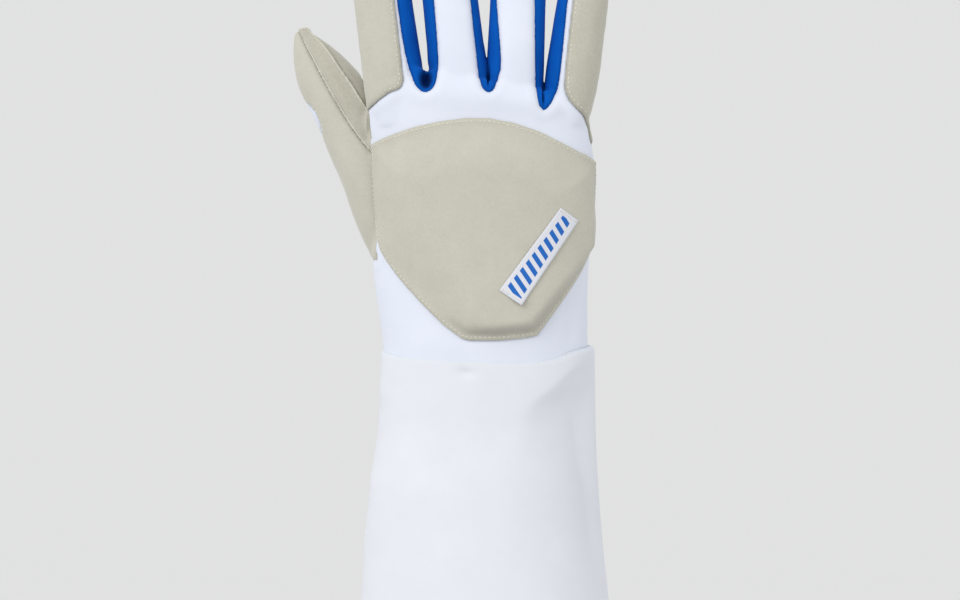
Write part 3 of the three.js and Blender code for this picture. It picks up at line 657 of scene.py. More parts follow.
# Each DEPTH or HEIGHT and its REACH are in millimetres, and each LENGTH is the size of one pucker.
SEAM_DEPTH, SEAM_REACH = 0.55, 0.85
LAP_DEPTH, LAP_REACH = 0.6, 1.1
LAP_RISE, LAP_RISE_AT = 0.45, 1.1
PUFF_HEIGHT, PUFF_AT, PUFF_REACH = 0.22, 3.2, 2.2
PUCKER_HEIGHT, PUCKER_LENGTH, PUCKER_REACH = 0.22, 5, 4.5
SLACK_HEIGHT, SLACK_LENGTH = 0.25, 26
SLACK_FROM = Vector((7, 3, 1))
# The fork strips dip between the fingers at the bottom of each gap. side and rise are as above.
FORK_DIPS = [
    dict(side=-0.268, rise=1.072, wide=2.3, deep=5.5),
    dict(side=0.012, rise=1.08, wide=0.42, deep=2),
    dict(side=0.259, rise=1, wide=0.45, deep=2),
]
DIP_HIGH = 3.8
# The palm has two creases, from side to side and round the thumb's root.
PALM_CREASES = [
    [(-0.44, 0.8), (-0.2, 0.865), (0.12, 0.84), (0.44, 0.75)],
    [(-0.43, 0.74), (-0.17, 0.68), (-0.05, 0.42), (-0.1, 0.12)],
]
CREASE_DEPTH, CREASE_REACH = 0.7, 1.5
# The thumb's strips run in under the edge of the hand, which hides where they end.
EDGE_DEPTH, EDGE_REACH = 4.5, 3.4
EDGE_FROM, EDGE_TO, EDGE_FADE = 0.88, 1.03, 0.06
# A soft dent at the wrist, on the little finger's side: its place, half sizes and depth
WRIST_DENT = dict(x=38, z=9, wide=3.5, high=9, deep=1.1)
# The seams, dips and creases are darker by these shares of the seam's colour, and as far from them. This is
# painted shade, with a dark seam line at the seams.
SEAM_DARK_REACH = 0.9
LAP_DARK, LAP_DARK_REACH = 0.5, 0.7
STRIP_SEAM_DARK = 0.5
DARKEST_DIP = 2.5
CREASE_DARK = 0.4


def bump(distance, reach):
    return math.exp(-((distance / reach) ** 2))


def dip_at(place_mm):
    """How deep the cloth dips between the fingers, seen from the back or the palm's side."""
    return max(row["deep"] * bump(math.hypot((place_mm.x - row["side"] * KNUCKLE_WIDTH) / row["wide"],
                                             (place_mm.z - row["rise"] * PALM_LENGTH) / DIP_HIGH), 1)
               for row in FORK_DIPS)


crease_tree = tree_of([Vector((x, 0, z)) * MM for crease in PALM_CREASES
                       for x, z in rounded(place(crease), 40)])
hand.normal_update()
# Each place's darkening: dark seam lines with painted shade in their grooves, and painted shade beside the
# lapped seams, in the dips between the fingers and in the palm's creases.
seams_and_shade = hand.verts.layers.float.new("seam")
moves = []
for vertex in hand.verts:
    seam = seam_tree.find(vertex.co)[2] / MM
    lap = lapped_tree.find(vertex.co)[2] / MM
    pucker = noise.noise(vertex.co / (PUCKER_LENGTH * MM)) * math.exp(-min(seam, lap) / PUCKER_REACH)
    slack = noise.noise(vertex.co / (SLACK_LENGTH * MM) + SLACK_FROM)
    panels_here = {face_panels[face.index] for face in vertex.link_faces}
    raised = -SEAM_DEPTH * bump(seam, SEAM_REACH)
    if panels_here == {"thumb_side"}:
        raised += LAP_RISE * bump(lap - LAP_RISE_AT, LAP_RISE_AT)
    else:
        raised -= LAP_DEPTH * bump(lap, LAP_REACH)
    # Painted shade: dark seam lines with shade painted in their grooves, and shade painted beside the lapped
    # seams.
    seam_shade = bump(seam, SEAM_DARK_REACH)
    vertex[seams_and_shade] = max(seam_shade, LAP_DARK * bump(lap, LAP_DARK_REACH))
    if any(panel.startswith("fourchette") for panel in panels_here):
        dip = dip_at(vertex.co / MM)
        raised -= dip
        # Painted shade: the deeper the dip between the fingers, the darker the blue.
        vertex[seams_and_shade] = max(STRIP_SEAM_DARK * seam_shade, min(1, dip / DARKEST_DIP))
    else:
        raised += PUFF_HEIGHT * bump(seam - PUFF_AT, PUFF_REACH)
        raised += PUCKER_HEIGHT * pucker + SLACK_HEIGHT * slack
    if panels_here == {"palm_panel"}:
        from_crease = crease_tree.find((vertex.co.x, 0, vertex.co.z))[2] / MM
        raised -= CREASE_DEPTH * bump(from_crease, CREASE_REACH)
        # Painted shade in the palm's creases.
        vertex[seams_and_shade] = max(vertex[seams_and_shade], CREASE_DARK * bump(from_crease, CREASE_REACH / 2))
    move = vertex.normal * raised * MM
    rise = vertex.co.z / MM / PALM_LENGTH
    if panels_here & LAPPED and EDGE_FROM - EDGE_FADE < rise < EDGE_TO:
        shown = float(ease((rise - EDGE_FROM) / EDGE_FADE + 1))
        move.y += EDGE_DEPTH * shown * bump(hand_edge_tree.find(vertex.co)[2] / MM, EDGE_REACH) * MM
    if vertex.co.y < 0:
        across = (vertex.co.x / MM - WRIST_DENT["x"]) / WRIST_DENT["wide"]
        up = (vertex.co.z / MM - WRIST_DENT["z"]) / WRIST_DENT["high"]
        move.y += WRIST_DENT["deep"] * bump(math.hypot(across, up), 1) * MM
    moves.append(move)
for vertex, move in zip(hand.verts, moves):
    vertex.co += move
hand.normal_update()
hand_surface = BVHTree.FromBMesh(hand)


def panel_mesh(name):
    """One panel of the hand, cut out of its skin."""
    cut = hand.copy()
    others = [face for face, panel in zip(cut.faces[:], face_panels) if panel != name]
    bmesh.ops.delete(cut, geom=others, context="FACES")
    return cut


def thickened(piece, wall):
    """Gives a piece its cloth's thickness, inwards from its outer face."""
    thickness = piece.modifiers.new("thickness", "SOLIDIFY")
    thickness.thickness = wall * MM
    thickness.offset = -1


def worn(piece, material, slot, node=None):
    """Puts a piece on the glove, in place of its CAD node if it has one."""
    piece.data.materials.append(material)
    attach(piece, "root")
    if node:
        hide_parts(node)


def sewn_panel(name, mesh, wall, material, slot):
    """A panel of the hand, in place of its CAD node."""
    piece = linked(name + "_cloth", mesh)
    thickened(piece, wall)
    worn(piece, material, slot, name)


# The suede palm
# The palm and the fronts of the fingers are one piece of pale suede, with a short soft nap. It is cut flat,
# and sewn to the white back and the blue strips with its edges turned in.
SUEDE_WALL = 1.2
SUEDE_PATCH, SUEDE_FIBRE = 9, 1.1
SUEDE_LIGHT = (0.535, 0.518, 0.442, 1)
SUEDE_DARK = (0.508, 0.491, 0.414, 1)
SUEDE_PALE = (0.61, 0.595, 0.515, 1)
# The darkest suede, for seam lines and for painted shade in grooves, creases and the guard's hollow.
SUEDE_SEAM_AND_SHADE = (0.3, 0.285, 0.228, 1)


def nap_group():
    """Soft patches and fine fibres, as masks and a height, for cloth and suede alike."""
    group = bpy.data.node_groups.new("nap", "ShaderNodeTree")
    for name in ("Patch Size", "Fibre Size"):
        group.interface.new_socket(name, in_out="INPUT", socket_type="NodeSocketFloat")
    for name in ("Patches", "Fibres"):
        group.interface.new_socket(name, in_out="OUTPUT", socket_type="NodeSocketFloat")
    nodes, links = group.nodes, group.links
    start, end = nodes.new("NodeGroupInput"), nodes.new("NodeGroupOutput")
    where = nodes.new("ShaderNodeTexCoord")
    for size, result, detail in (("Patch Size", "Patches", 3), ("Fibre Size", "Fibres", 6)):
        per_metre = nodes.new("ShaderNodeMath")
        per_metre.operation = "DIVIDE"
        per_metre.inputs[0].default_value = 1
        cloud = nodes.new("ShaderNodeTexNoise")
        cloud.inputs["Detail"].default_value = detail
        cloud.inputs["Roughness"].default_value = 0.62
        links.new(start.outputs[size], per_metre.inputs[1])
        links.new(per_metre.outputs[0], cloud.inputs["Scale"])
        links.new(where.outputs["Object"], cloud.inputs["Vector"])
        links.new(cloud.outputs["Fac"], end.inputs[result])
    return group


nap = nap_group()


def nap_in(material, patch_size, fibre_size):
    """The nap's masks in a material, with their sizes in millimetres."""
    node = material.node_tree.nodes.new("ShaderNodeGroup")
    node.node_tree = nap
    node.inputs["Patch Size"].default_value = patch_size * MM
    node.inputs["Fibre Size"].default_value = fibre_size * MM
    return node


def blend_colour(material, factor, first, second):
    """A colour between two, each a colour or another node's output."""
    # A mix node's colours are its inputs 6 and 7 and its output 2.
    node = material.node_tree.nodes.new("ShaderNodeMix")
    node.data_type = "RGBA"
    for socket, value in ((node.inputs[0], factor), (node.inputs[6], first), (node.inputs[7], second)):
        if isinstance(value, bpy.types.NodeSocket):
            material.node_tree.links.new(value, socket)
        else:
            socket.default_value = value
    return node.outputs[2]


def spread(material, value, low, high, to_low=0, to_high=1):
    """A value's range stretched to another."""
    node = material.node_tree.nodes.new("ShaderNodeMapRange")
    material.node_tree.links.new(value, node.inputs["Value"])
    for name, number in (("From Min", low), ("From Max", high), ("To Min", to_low), ("To Max", to_high)):
        node.inputs[name].default_value = number
    return node.outputs[0]


def bumped(material, shader, height, strength, distance):
    """Raises fine relief from a height, as far as the distance in millimetres."""
    node = material.node_tree.nodes.new("ShaderNodeBump")
    node.inputs["Strength"].default_value = strength
    node.inputs["Distance"].default_value = distance * MM
    material.node_tree.links.new(height, node.inputs["Height"])
    material.node_tree.links.new(node.outputs["Normal"], shader.inputs["Normal"])


def seams_and_shade_mask(material):
    """How dark each place is painted, from 0 to 1, as the mesh holds it: dark seam lines and painted shade.
    """
    node = material.node_tree.nodes.new("ShaderNodeAttribute")
    node.attribute_name = "seam"
    return node.outputs["Fac"]


def suede_finish(name, light, dark, seam):
    """Suede: soft patches of two tones, pale fibres, and darker seams with painted shade from the mesh's
    mask.
    """
    material, shader = new_material(name)
    link = material.node_tree.links.new
    surface = nap_in(material, SUEDE_PATCH, SUEDE_FIBRE)
    mottle = spread(material, surface.outputs["Patches"], 0.32, 0.68)
    fibres = spread(material, surface.outputs["Fibres"], 0.38, 0.62)
    ground = blend_colour(material, mottle, light, dark)
    soft = blend_colour(material, spread(material, fibres, 0, 1, 0, 0.3), ground, SUEDE_PALE)
    # Dark seam lines and painted shade from the mesh's mask, blended towards the seam colour.
    worn = blend_colour(material, spread(material, seams_and_shade_mask(material), 0, 1, 0, 0.5), soft, seam)
    link(worn, shader.inputs["Base Color"])
    link(spread(material, surface.outputs["Fibres"], 0, 1, 0.86, 1), shader.inputs["Roughness"])
    shader.inputs["Sheen Weight"].default_value = 0.35
    shader.inputs["Sheen Roughness"].default_value = 0.5
    shader.inputs["Specular IOR Level"].default_value = 0.2
    bumped(material, shader, surface.outputs["Fibres"], 0.4, 0.13)
    return material


suede = suede_finish("suede", SUEDE_LIGHT, SUEDE_DARK, SUEDE_SEAM_AND_SHADE)
# The suede that turns away from the light, round the thumb and the little finger, is a darker copy of it:
# painted shade.
SHADED_SUEDE_LIGHT = (0.497, 0.48, 0.404, 1)
SHADED_SUEDE_DARK = (0.467, 0.449, 0.373, 1)
shaded_suede = suede_finish("shaded_suede", SHADED_SUEDE_LIGHT, SHADED_SUEDE_DARK, SUEDE_SEAM_AND_SHADE)
sewn_panel("palm_panel", panel_mesh("palm_panel"), SUEDE_WALL, suede, "suede")

# The white back
# The back of the hand, with the backs of the middle and ring fingers, is smooth white stretch cloth, and so
# is the narrow strip along the thumb's outer side. Both are sewn to the suede in turned seams.
CLOTH_WALL = 1.1
CLOTH_PATCH, CLOTH_FIBRE = 22, 0.42
WHITE_LIGHT = (0.755, 0.79, 0.885, 1)
WHITE_DARK = (0.725, 0.76, 0.86, 1)
# The cloth's darkest tone, for seam lines and for painted shade in grooves and under the cuff's rim.
WHITE_SEAM_AND_SHADE = (0.5, 0.54, 0.64, 1)


def cloth_finish(name, light, dark, seam, weave_height=0.1, sheen=0.2, seam_and_shade_share=0.5):
    """Smooth cloth: a fine weave, two close tones, and seams and painted shade darker by a share of the
    seam's colour.
    """
    material, shader = new_material(name)
    link = material.node_tree.links.new
    surface = nap_in(material, CLOTH_PATCH, CLOTH_FIBRE)
    ground = blend_colour(material, spread(material, surface.outputs["Patches"], 0.3, 0.7), light, dark)
    # Dark seam lines and painted shade from the mesh's mask, blended towards the seam colour.
    worn = blend_colour(material, spread(material, seams_and_shade_mask(material), 0, 1, 0, seam_and_shade_share), ground, seam)
    link(worn, shader.inputs["Base Color"])
    link(spread(material, surface.outputs["Fibres"], 0, 1, 0.62, 0.82), shader.inputs["Roughness"])
    shader.inputs["Sheen Weight"].default_value = sheen
    shader.inputs["Sheen Roughness"].default_value = 0.4
    shader.inputs["Specular IOR Level"].default_value = sheen
    bumped(material, shader, surface.outputs["Fibres"], 0.4, weave_height)
    return material


white_cloth = cloth_finish("white_cloth", WHITE_LIGHT, WHITE_DARK, WHITE_SEAM_AND_SHADE)
for name in ("back_panel", "thumb_gusset"):
    sewn_panel(name, panel_mesh(name), CLOTH_WALL, white_cloth, "white_cloth")

# The thumb's strips
# Three strips of the same suede are sewn edge to edge along the thumb. The middle strip's edges are turned
# under, so that a narrow welt stands up beside each seam.
for name, leather in (("thumb_back", suede), ("thumb_side", shaded_suede), ("thumb_palm", shaded_suede)):
    sewn_panel(name, panel_mesh(name), SUEDE_WALL, leather, "suede")

WELT_HALF_WIDTH = 0.5
WELT_HALF_HEIGHT = 0.95
WELT_FROM_SEAM = 0.6
# The welts' suede is lighter than the strips', a painted highlight along the raised edges.
WELT_HIGHLIGHT = (0.62, 0.605, 0.525, 1)
WELT_STEPS = 90
WELT_SIDES = 10
# How far outside the thumb a line of sight starts
THUMB_CLEAR = 40


def on_thumb_back(seam, along, aside):
    """Places and outward directions on the thumb's back, beside one of its seams, in millimetres."""
    side = between_rows(seam, along)["aside"] * THUMB_WIDTH + aside
    starts = THUMB_ROOT + thumb_out * THUMB_CLEAR + thumb_across * side[:, None]
    starts += thumb_along * (along * THUMB_LENGTH)[:, None]
    hits = [hand_surface.ray_cast(Vector(start) * MM, Vector(-thumb_out))[:2] for start in starts]
    return [(point / MM, normal) for point, normal in hits if point]


def welt(mesh, spots, half_width, half_height, sides):
    """A round welt laid along places on the glove, half sunk in it and slimmer towards its ends."""
    path = np.array([point for point, _ in spots])
    path[1:-1] = (path[:-2] + path[1:-1] + path[2:]) / 3
    through = np.array([normal for _, normal in spots])
    across = unit(np.cross(unit(np.gradient(path, axis=0)), through))
    slim = np.sin(np.pi * np.clip(np.arange(len(path)) / (len(path) - 1), 0.02, 0.98)) ** 0.25
    closed_tube(mesh, rings_round(path, across, through, slim * half_width, slim * half_height,
                                  np.full(len(path), 2.0), sides))


# start and end are shares of the thumb's length.
WELTS = [
    dict(seam=BACK_SEAM, start=0.33, end=0.93, aside=WELT_FROM_SEAM),
    dict(seam=SIDE_SEAM, start=0.52, end=0.97, aside=-WELT_FROM_SEAM),
]
welts = bmesh.new()
for row in WELTS:
    spots = on_thumb_back(row["seam"], np.linspace(row["start"], row["end"], WELT_STEPS), row["aside"])
    welt(welts, spots, WELT_HALF_WIDTH, WELT_HALF_HEIGHT, WELT_SIDES)
bmesh.ops.recalc_face_normals(welts, faces=welts.faces)
# Painted highlight: the welts take the lighter suede.
worn(linked("thumb_welts", welts), suede_finish("highlit_suede_edge", WELT_HIGHLIGHT, SUEDE_LIGHT, SUEDE_SEAM_AND_SHADE), "suede")

# The strips between the fingers
# A narrow strip of blue knit is sewn into each fork and runs up the sides of both fingers, so that the
# fingers are round and not flat. It dips where its two sides meet.
BLUE_LIGHT = (0.003, 0.11, 0.5, 1)
BLUE_DARK = (0.002, 0.08, 0.4, 1)
# Nearly black blue, for the seams and for the painted shade in the dips between the fingers.
BLUE_SEAM_AND_SHADE = (0.001, 0.012, 0.09, 1)
blue_knit = cloth_finish("blue_knit", BLUE_LIGHT, BLUE_DARK, BLUE_SEAM_AND_SHADE,
                         weave_height=0.2, sheen=0.03, seam_and_shade_share=0.9)
for name in FORKS:
    sewn_panel("fourchette_" + name, panel_mesh("fourchette_" + name), CLOTH_WALL, blue_knit, "blue_knit")

# The finger patches
# Suede patches protect the backs of the index and little fingers. Each is laid over the cloth and stitched
# down round its edge, so that it stands a layer higher.
PATCH_RISE = 0.8
# Slivers that the seam's cut leaves at an edge would fold over when the patch is raised.
SLIVER = 0.2
for name, leather in (("index_patch", suede), ("little_patch", shaded_suede)):
    patch = panel_mesh(name)
    bmesh.ops.remove_doubles(patch, verts=patch.verts, dist=SLIVER * MM)
    patch.normal_update()
    for vertex in patch.verts:
        vertex.co += vertex.normal * PATCH_RISE * MM
    sewn_panel(name, patch, SUEDE_WALL + PATCH_RISE, leather, "suede")

# The stitching on the hand
# Each patch is held by a row of small lockstitches just inside its edge, and so is the thumb's suede beside
# the white strip. The thread is off-white and half sunk in the suede.
STITCH_PITCH = 2.1
STITCH_HALF_LENGTH = 0.66
STITCH_HALF_WIDTH = 0.24
STITCH_HALF_HEIGHT = 0.22
STITCH_ROUND, STITCH_LONG = 6, 4
PATCH_STITCH_INSET = 1.5
GUSSET_STITCH_INSET = 1
# The rows end at these places, and where the glove turns away from the back by more than these.
STITCHES_OUT, STITCHES_TOP = 60, FINGER_ROOT + 0.93 * FINGER_LENGTH
PATCH_FACING, GUSSET_FACING = -0.25, -0.1
# How far in front of the hand a line of sight starts
CLEAR_OF_HAND = 120
THREAD_LIGHT = (0.8, 0.785, 0.695, 1)
THREAD_DARK = (0.62, 0.6, 0.51, 1)


def evenly(points, pitch):
    """Points at an even pitch along a line of points."""
    points = np.array(points, float)
    along = np.append(0, np.cumsum(np.linalg.norm(np.diff(points, axis=0), axis=1)))
    steps = np.linspace(0, along[-1], max(2, round(along[-1] / pitch) + 1))
    return np.stack([np.interp(steps, along, column) for column in points.T], 1)


def inset_line(points, depth):
    """A line moved sideways, to the right of the way that it runs."""
    way = unit(np.gradient(points, axis=0))
    return points + depth * np.stack((way[:, 1], -way[:, 0]), 1)


def stitch_row(mesh, spots):
    """A small stitch at each place, laid in the direction of the row."""
    for before, (point, normal), after in zip(spots[:1] + spots, spots, spots[1:] + spots[-1:]):
        way = after[0] - before[0]
        if way.length < 1e-6:
            continue
        way.normalize()
        across = normal.cross(way).normalized()
        axes = Matrix((way * STITCH_HALF_LENGTH, across * STITCH_HALF_WIDTH, normal * STITCH_HALF_HEIGHT))
        laid = Matrix.Translation(point * MM) @ axes.transposed().to_4x4()
        bmesh.ops.create_uvsphere(mesh, u_segments=STITCH_ROUND, v_segments=STITCH_LONG, radius=MM,
                                  matrix=laid @ Matrix.Rotation(math.pi / 2, 4, "Y"))


def thread_finish(name, light, dark):
    """Thread: light and dark fibres."""
    material, shader = new_material(name)
    surface = nap_in(material, 1.2, 0.25)
    ground = blend_colour(material, spread(material, surface.outputs["Patches"], 0.35, 0.65), light, dark)
    material.node_tree.links.new(ground, shader.inputs["Base Color"])
    shader.inputs["Roughness"].default_value = 0.6
    shader.inputs["Sheen Weight"].default_value = 0.2
    bumped(material, shader, surface.outputs["Fibres"], 0.5, 0.1)
    return material


def stitched(name, mesh, material, slot):
    bmesh.ops.recalc_face_normals(mesh, faces=mesh.faces)
    worn(linked(name, mesh), material, slot)


def seen_from_back(x, z, surface=hand_surface):
    """Where a line of sight from straight in front of the back meets a surface, and its direction there."""
    return surface.ray_cast(Vector((x, -CLEAR_OF_HAND, z)) * MM, Vector((0, 1, 0)))[:2]


def on_glove(x, z, rise):
    """A place on the glove's back, in millimetres, and its direction."""
    point, normal = seen_from_back(x, z)
    return (point / MM + normal * rise, normal) if point else None


thread = thread_finish("thread", THREAD_LIGHT, THREAD_DARK)
patch_stitches = bmesh.new()
for line in (INDEX_PATCH[3:], LITTLE_PATCH[:8]):
    row = inset_line(evenly(rounded(place(line)), STITCH_PITCH), -PATCH_STITCH_INSET)
    row = [(x, z) for x, z in row if abs(x) < STITCHES_OUT and z < STITCHES_TOP]
    spots = [on_glove(x, z, PATCH_RISE) for x, z in evenly(row, STITCH_PITCH)]
    stitch_row(patch_stitches, [spot for spot in spots if spot and spot[1].y < PATCH_FACING])
edge_row = inset_line(evenly(place(GUSSET_BLADE[2:6]), STITCH_PITCH), -GUSSET_STITCH_INSET)
spots = [on_glove(x, z, 0) for x, z in edge_row]
stitch_row(patch_stitches, [spot for spot in spots if spot and spot[1].y < GUSSET_FACING])
stitched("hand_stitches", patch_stitches, thread, "suede")

# The padded guard
# A foam pad under suede covers the back of the hand. Its suede runs out past the foam as a flat flange, which
# is stitched down to the glove all round. A cloth simulation swells the suede over the foam.
PAD_WIDTH = 100
PAD_HEIGHT = 100
PAD_SIDE = -0.6
PAD_MIDDLE = PALM_LENGTH - 59.3
PAD_THICKNESS = 6.6
PAD_FLANGE = 2.7
PAD_FLANGE_THICKNESS = 1.4
PAD_WALL = 1
# The foam ends in a steep bevel towards the lower right, and thins out gently towards the upper left.
STEEP_BEVEL = 5
GENTLE_BEVEL = 22
PAD_STEP = 1.25
PAD_GAP = 0.15
PAD_SLACK = 0.22
PAD_STITCH_INSET = 1.45
PAD_OUTLINE = [
    (-0.5, 0.38), (-0.421, 0.418), (-0.307, 0.456), (-0.196, 0.48), (-0.086, 0.494), (0.025, 0.493),
    (0.136, 0.472), (0.247, 0.434), (0.336, 0.39), (0.416, 0.349), (0.492, 0.309), (0.5, 0.246),
    (0.507, 0.111), (0.5, -0.001), (0.48, -0.091), (0.416, -0.215), (0.349, -0.316), (0.269, -0.426),
    (0.234, -0.473), (0.181, -0.484), (0.059, -0.495), (-0.063, -0.495), (-0.099, -0.486), (-0.18, -0.426),
    (-0.291, -0.316), (-0.388, -0.204), (-0.462, -0.092), (-0.479, -0.029), (-0.493, 0.131), (-0.502, 0.266),
]
# How far round the back the guard may reach, as a share of the palm's half width
BACK_WRAP = 0.992
ARC_STEPS = 160
# Beside the thumb the guard lies on the thumb's strips, and turns no further round the hand than this.
THUMB_SIDE_TURN = math.radians(38)
THUMB_SIDE_FROM = -20
# Lines of sight square to the back start this far above it.
ABOVE_BACK = 12
FLANGE_ROUNDING = 0.9
GENTLE_POWER, STEEP_POWER = 1.3, 0.8
SLACK_SIZE, SLACK_FADE = 17, 6
# Painted shade: the hollow beside the foam is darker towards the lower right, where the bevel turns from the
# light, and a painted shadow line darkens the flange's very edge.
HOLLOW_OUT, HOLLOW_REACH = 0.9, 1.9
EDGE_SHADOW, EDGE_SHADOW_REACH = 0.25, 0.5


def back_arc(height):
    """The back's curve at a height, from its middle: distances along it, across and out of the hand."""
    size = palm_sizes(np.array([height], float))
    turn = np.linspace(0, np.pi / 2, ARC_STEPS)
    power = 2 / size["square"][0]
    across = size["half_width"][0] * np.sin(turn) ** power
    out = size["half_depth"][0] * np.cos(turn) ** power
    along = np.append(0, np.cumsum(np.hypot(np.diff(across), np.diff(out))))
    return along, across, out, size


def unrolled(x, z):
    """A place seen from the back, as a distance along the back's curve from its middle."""
    along, across, _, size = back_arc(z)
    from_middle = x - size["middle_x"][0]
    reach = min(abs(from_middle), BACK_WRAP * size["half_width"][0])
    return math.copysign(np.interp(reach, across, along), from_middle)


def on_back(along_curve, z):
    """The place and outward direction on the hand's back at a distance along its curve, in millimetres."""
    along, across, out, size = back_arc(z)
    reach = min(abs(along_curve), along[-1])
    way = math.copysign(1, along_curve)
    x = np.interp(reach, along, across)
    y = np.interp(reach, along, out)
    slope = size["square"][0] - 1
    steep = (x / size["half_width"][0]) ** slope / size["half_width"][0]
    flat = (y / size["half_depth"][0]) ** slope / size["half_depth"][0]
    normal = Vector((way * steep, -flat, 0)).normalized()
    point = Vector((size["middle_x"][0] + way * x, size["middle_y"][0] - y, z))
    if point.x < THUMB_SIDE_FROM:
        turn = min(THUMB_SIDE_TURN, math.atan2(-normal.x, -normal.y))
        normal = Vector((-math.sin(turn), -math.cos(turn), 0))
        hit = seen_from_back(point.x, z)[0]
    else:
        hit = hand_surface.ray_cast((point + normal * ABOVE_BACK) * MM, -normal, 2 * ABOVE_BACK * MM)[0]
    return (hit / MM if hit else point), normal


pad_corners = np.array(PAD_OUTLINE) * (PAD_WIDTH, PAD_HEIGHT) + (PAD_SIDE, PAD_MIDDLE)
pad_edge = np.array([(unrolled(x, z), z) for x, z in pad_corners])
pad_low, pad_high = pad_edge.min(axis=0) - PAD_STEP, pad_edge.max(axis=0) + PAD_STEP
pad = bmesh.new()
counts = [math.ceil(size / PAD_STEP) for size in pad_high - pad_low]
bmesh.ops.create_grid(pad, x_segments=counts[0], y_segments=counts[1], size=0.5)
for vertex in pad.verts:
    spot = pad_low + (np.array(vertex.co.xy) + 0.5) * (pad_high - pad_low)
    vertex.co = (spot[0] * MM, 0, spot[1] * MM)
cut_line(pad, outside(pad_edge, places_of(pad)[:, ::2]), np.ones(len(pad.verts), bool))
centres = np.array([face.calc_center_median() for face in pad.faces])[:, ::2] / MM
beyond = outside(pad_edge, centres) > 0
bmesh.ops.delete(pad, geom=[face for face, out in zip(pad.faces[:], beyond) if out], context="FACES")
pad_spots = places_of(pad)[:, ::2]
pad_inset = np.maximum(0, -outside(pad_edge, pad_spots))
# 0 where the foam thins out gently, 1 towards the lower right
from_middle = (pad_spots - (0, PAD_MIDDLE)) / (PAD_WIDTH / 2, PAD_HEIGHT / 2)
steep = ease((from_middle[:, 0] - from_middle[:, 1] - 0.2) / 0.8)


def pad_height(inset, steep):
    """How high the guard stands above the glove, at a distance from its edge."""
    flange = PAD_FLANGE_THICKNESS * (0.5 + 0.5 * ease(inset / FLANGE_ROUNDING))
    share = np.clip((inset - PAD_FLANGE) / mix(GENTLE_BEVEL, STEEP_BEVEL, steep), 0, 1)
    foam = np.sin(np.pi / 2 * share) ** mix(GENTLE_POWER, STEEP_POWER, steep)
    return flange + (PAD_THICKNESS - PAD_FLANGE_THICKNESS) * foam


pad_rise = pad_height(pad_inset, steep)
# This layer holds only painted shade: in the hollow beside the foam, and a painted shadow line at the
# flange's edge.
pad_shade = pad.verts.layers.float.new("seam")
for vertex, (along_curve, z), rise, inset, steepness in zip(pad.verts, pad_spots, pad_rise, pad_inset, steep):
    point, normal = on_back(along_curve, z)
    rise += PAD_SLACK * noise.noise(Vector((along_curve, 0, z)) / SLACK_SIZE) * min(1, inset / SLACK_FADE)
    vertex.co = (point + normal * (PAD_GAP + rise)) * MM
    # Painted shade in the hollow, and a painted shadow at the edge.
    hollow = steepness * bump(inset - PAD_FLANGE - HOLLOW_OUT, HOLLOW_REACH)
    vertex[pad_shade] = max(hollow, EDGE_SHADOW * bump(inset, EDGE_SHADOW_REACH))


def turned_to_view(mesh):
    """Turns a sheet's faces so that they point out of the glove's back."""
    mesh.normal_update()
    if sum(face.normal.y for face in mesh.faces) > 0:
        bmesh.ops.reverse_faces(mesh, faces=mesh.faces)


turned_to_view(pad)
pad_piece = linked("back_pad_suede", pad)

PAD_PRESSURE = 1.2
# The flange is held fast, and over HELD_FADE from it the hold weakens to LEAST_HELD.
HELD_OUT, HELD_FADE, LEAST_HELD = 0.5, 6, 0.25
PAD_MOST_MOVE = 1.6
CLOTH_STEPS = 20
held = pad_piece.vertex_groups.new(name="held")
for at, inset in enumerate(pad_inset):
    freed = float(ease((inset - PAD_FLANGE - HELD_OUT) / HELD_FADE))
    held.add([at], 1 - freed * (1 - LEAST_HELD), "REPLACE")
cloth = pad_piece.modifiers.new("blown_up", "CLOTH")
cloth.settings.quality = 6
cloth.settings.use_pressure = True
cloth.settings.uniform_pressure_force = PAD_PRESSURE
cloth.settings.vertex_group_mass = "held"
cloth.settings.pin_stiffness = 1
cloth.settings.effector_weights.gravity = 0
cloth.settings.tension_stiffness = 8
cloth.settings.compression_stiffness = 8
cloth.settings.bending_stiffness = 2
start_places = np.array([vertex.co for vertex in pad_piece.data.vertices])
for step in range(CLOTH_STEPS):
    bpy.context.scene.frame_set(step + 1)
blown = pad_piece.evaluated_get(bpy.context.evaluated_depsgraph_get()).to_mesh()
end_places = np.array([vertex.co for vertex in blown.vertices])
bpy.context.scene.frame_set(1)
pad_piece.modifiers.remove(cloth)
moved = end_places - start_places
lengths = np.linalg.norm(moved, axis=1, keepdims=True)
moved *= np.minimum(1, PAD_MOST_MOVE * MM / np.maximum(lengths, 1e-9))
pad_piece.data.vertices.foreach_set("co", (start_places + moved).ravel().astype(np.float32))
pad_piece.data.update()
pad_fine = pad_piece.modifiers.new("fine", "SUBSURF")
pad_fine.levels = 1
pad_fine.render_levels = 1
thickened(pad_piece, PAD_WALL)
worn(pad_piece, suede, "suede", "back_pad")

pad_row = inset_line(evenly(np.vstack((pad_edge, pad_edge[:1])), STITCH_PITCH), PAD_STITCH_INSET)
spots = [on_back(along_curve, z) for along_curve, z in pad_row[:-1]]
spots = [(point + normal * (PAD_GAP + PAD_FLANGE_THICKNESS), normal) for point, normal in spots]
pad_stitches = bmesh.new()
stitch_row(pad_stitches, spots + spots[:1])
stitched("pad_stitches", pad_stitches, thread, "suede")

# The label
# A short strip of white tape, woven with blue bars, slants up to the right on the guard. It is sewn down at
# both ends, and lies loose between them.
LABEL_LENGTH = 45.6
LABEL_WIDTH = 9.6
LABEL_LOW_WIDTH = 11.8
LABEL_THICKNESS = 0.7
LABEL_TURN = 54.8
LABEL_MIDDLE = (PAD_SIDE + 24.6, PAD_MIDDLE - 12.1)
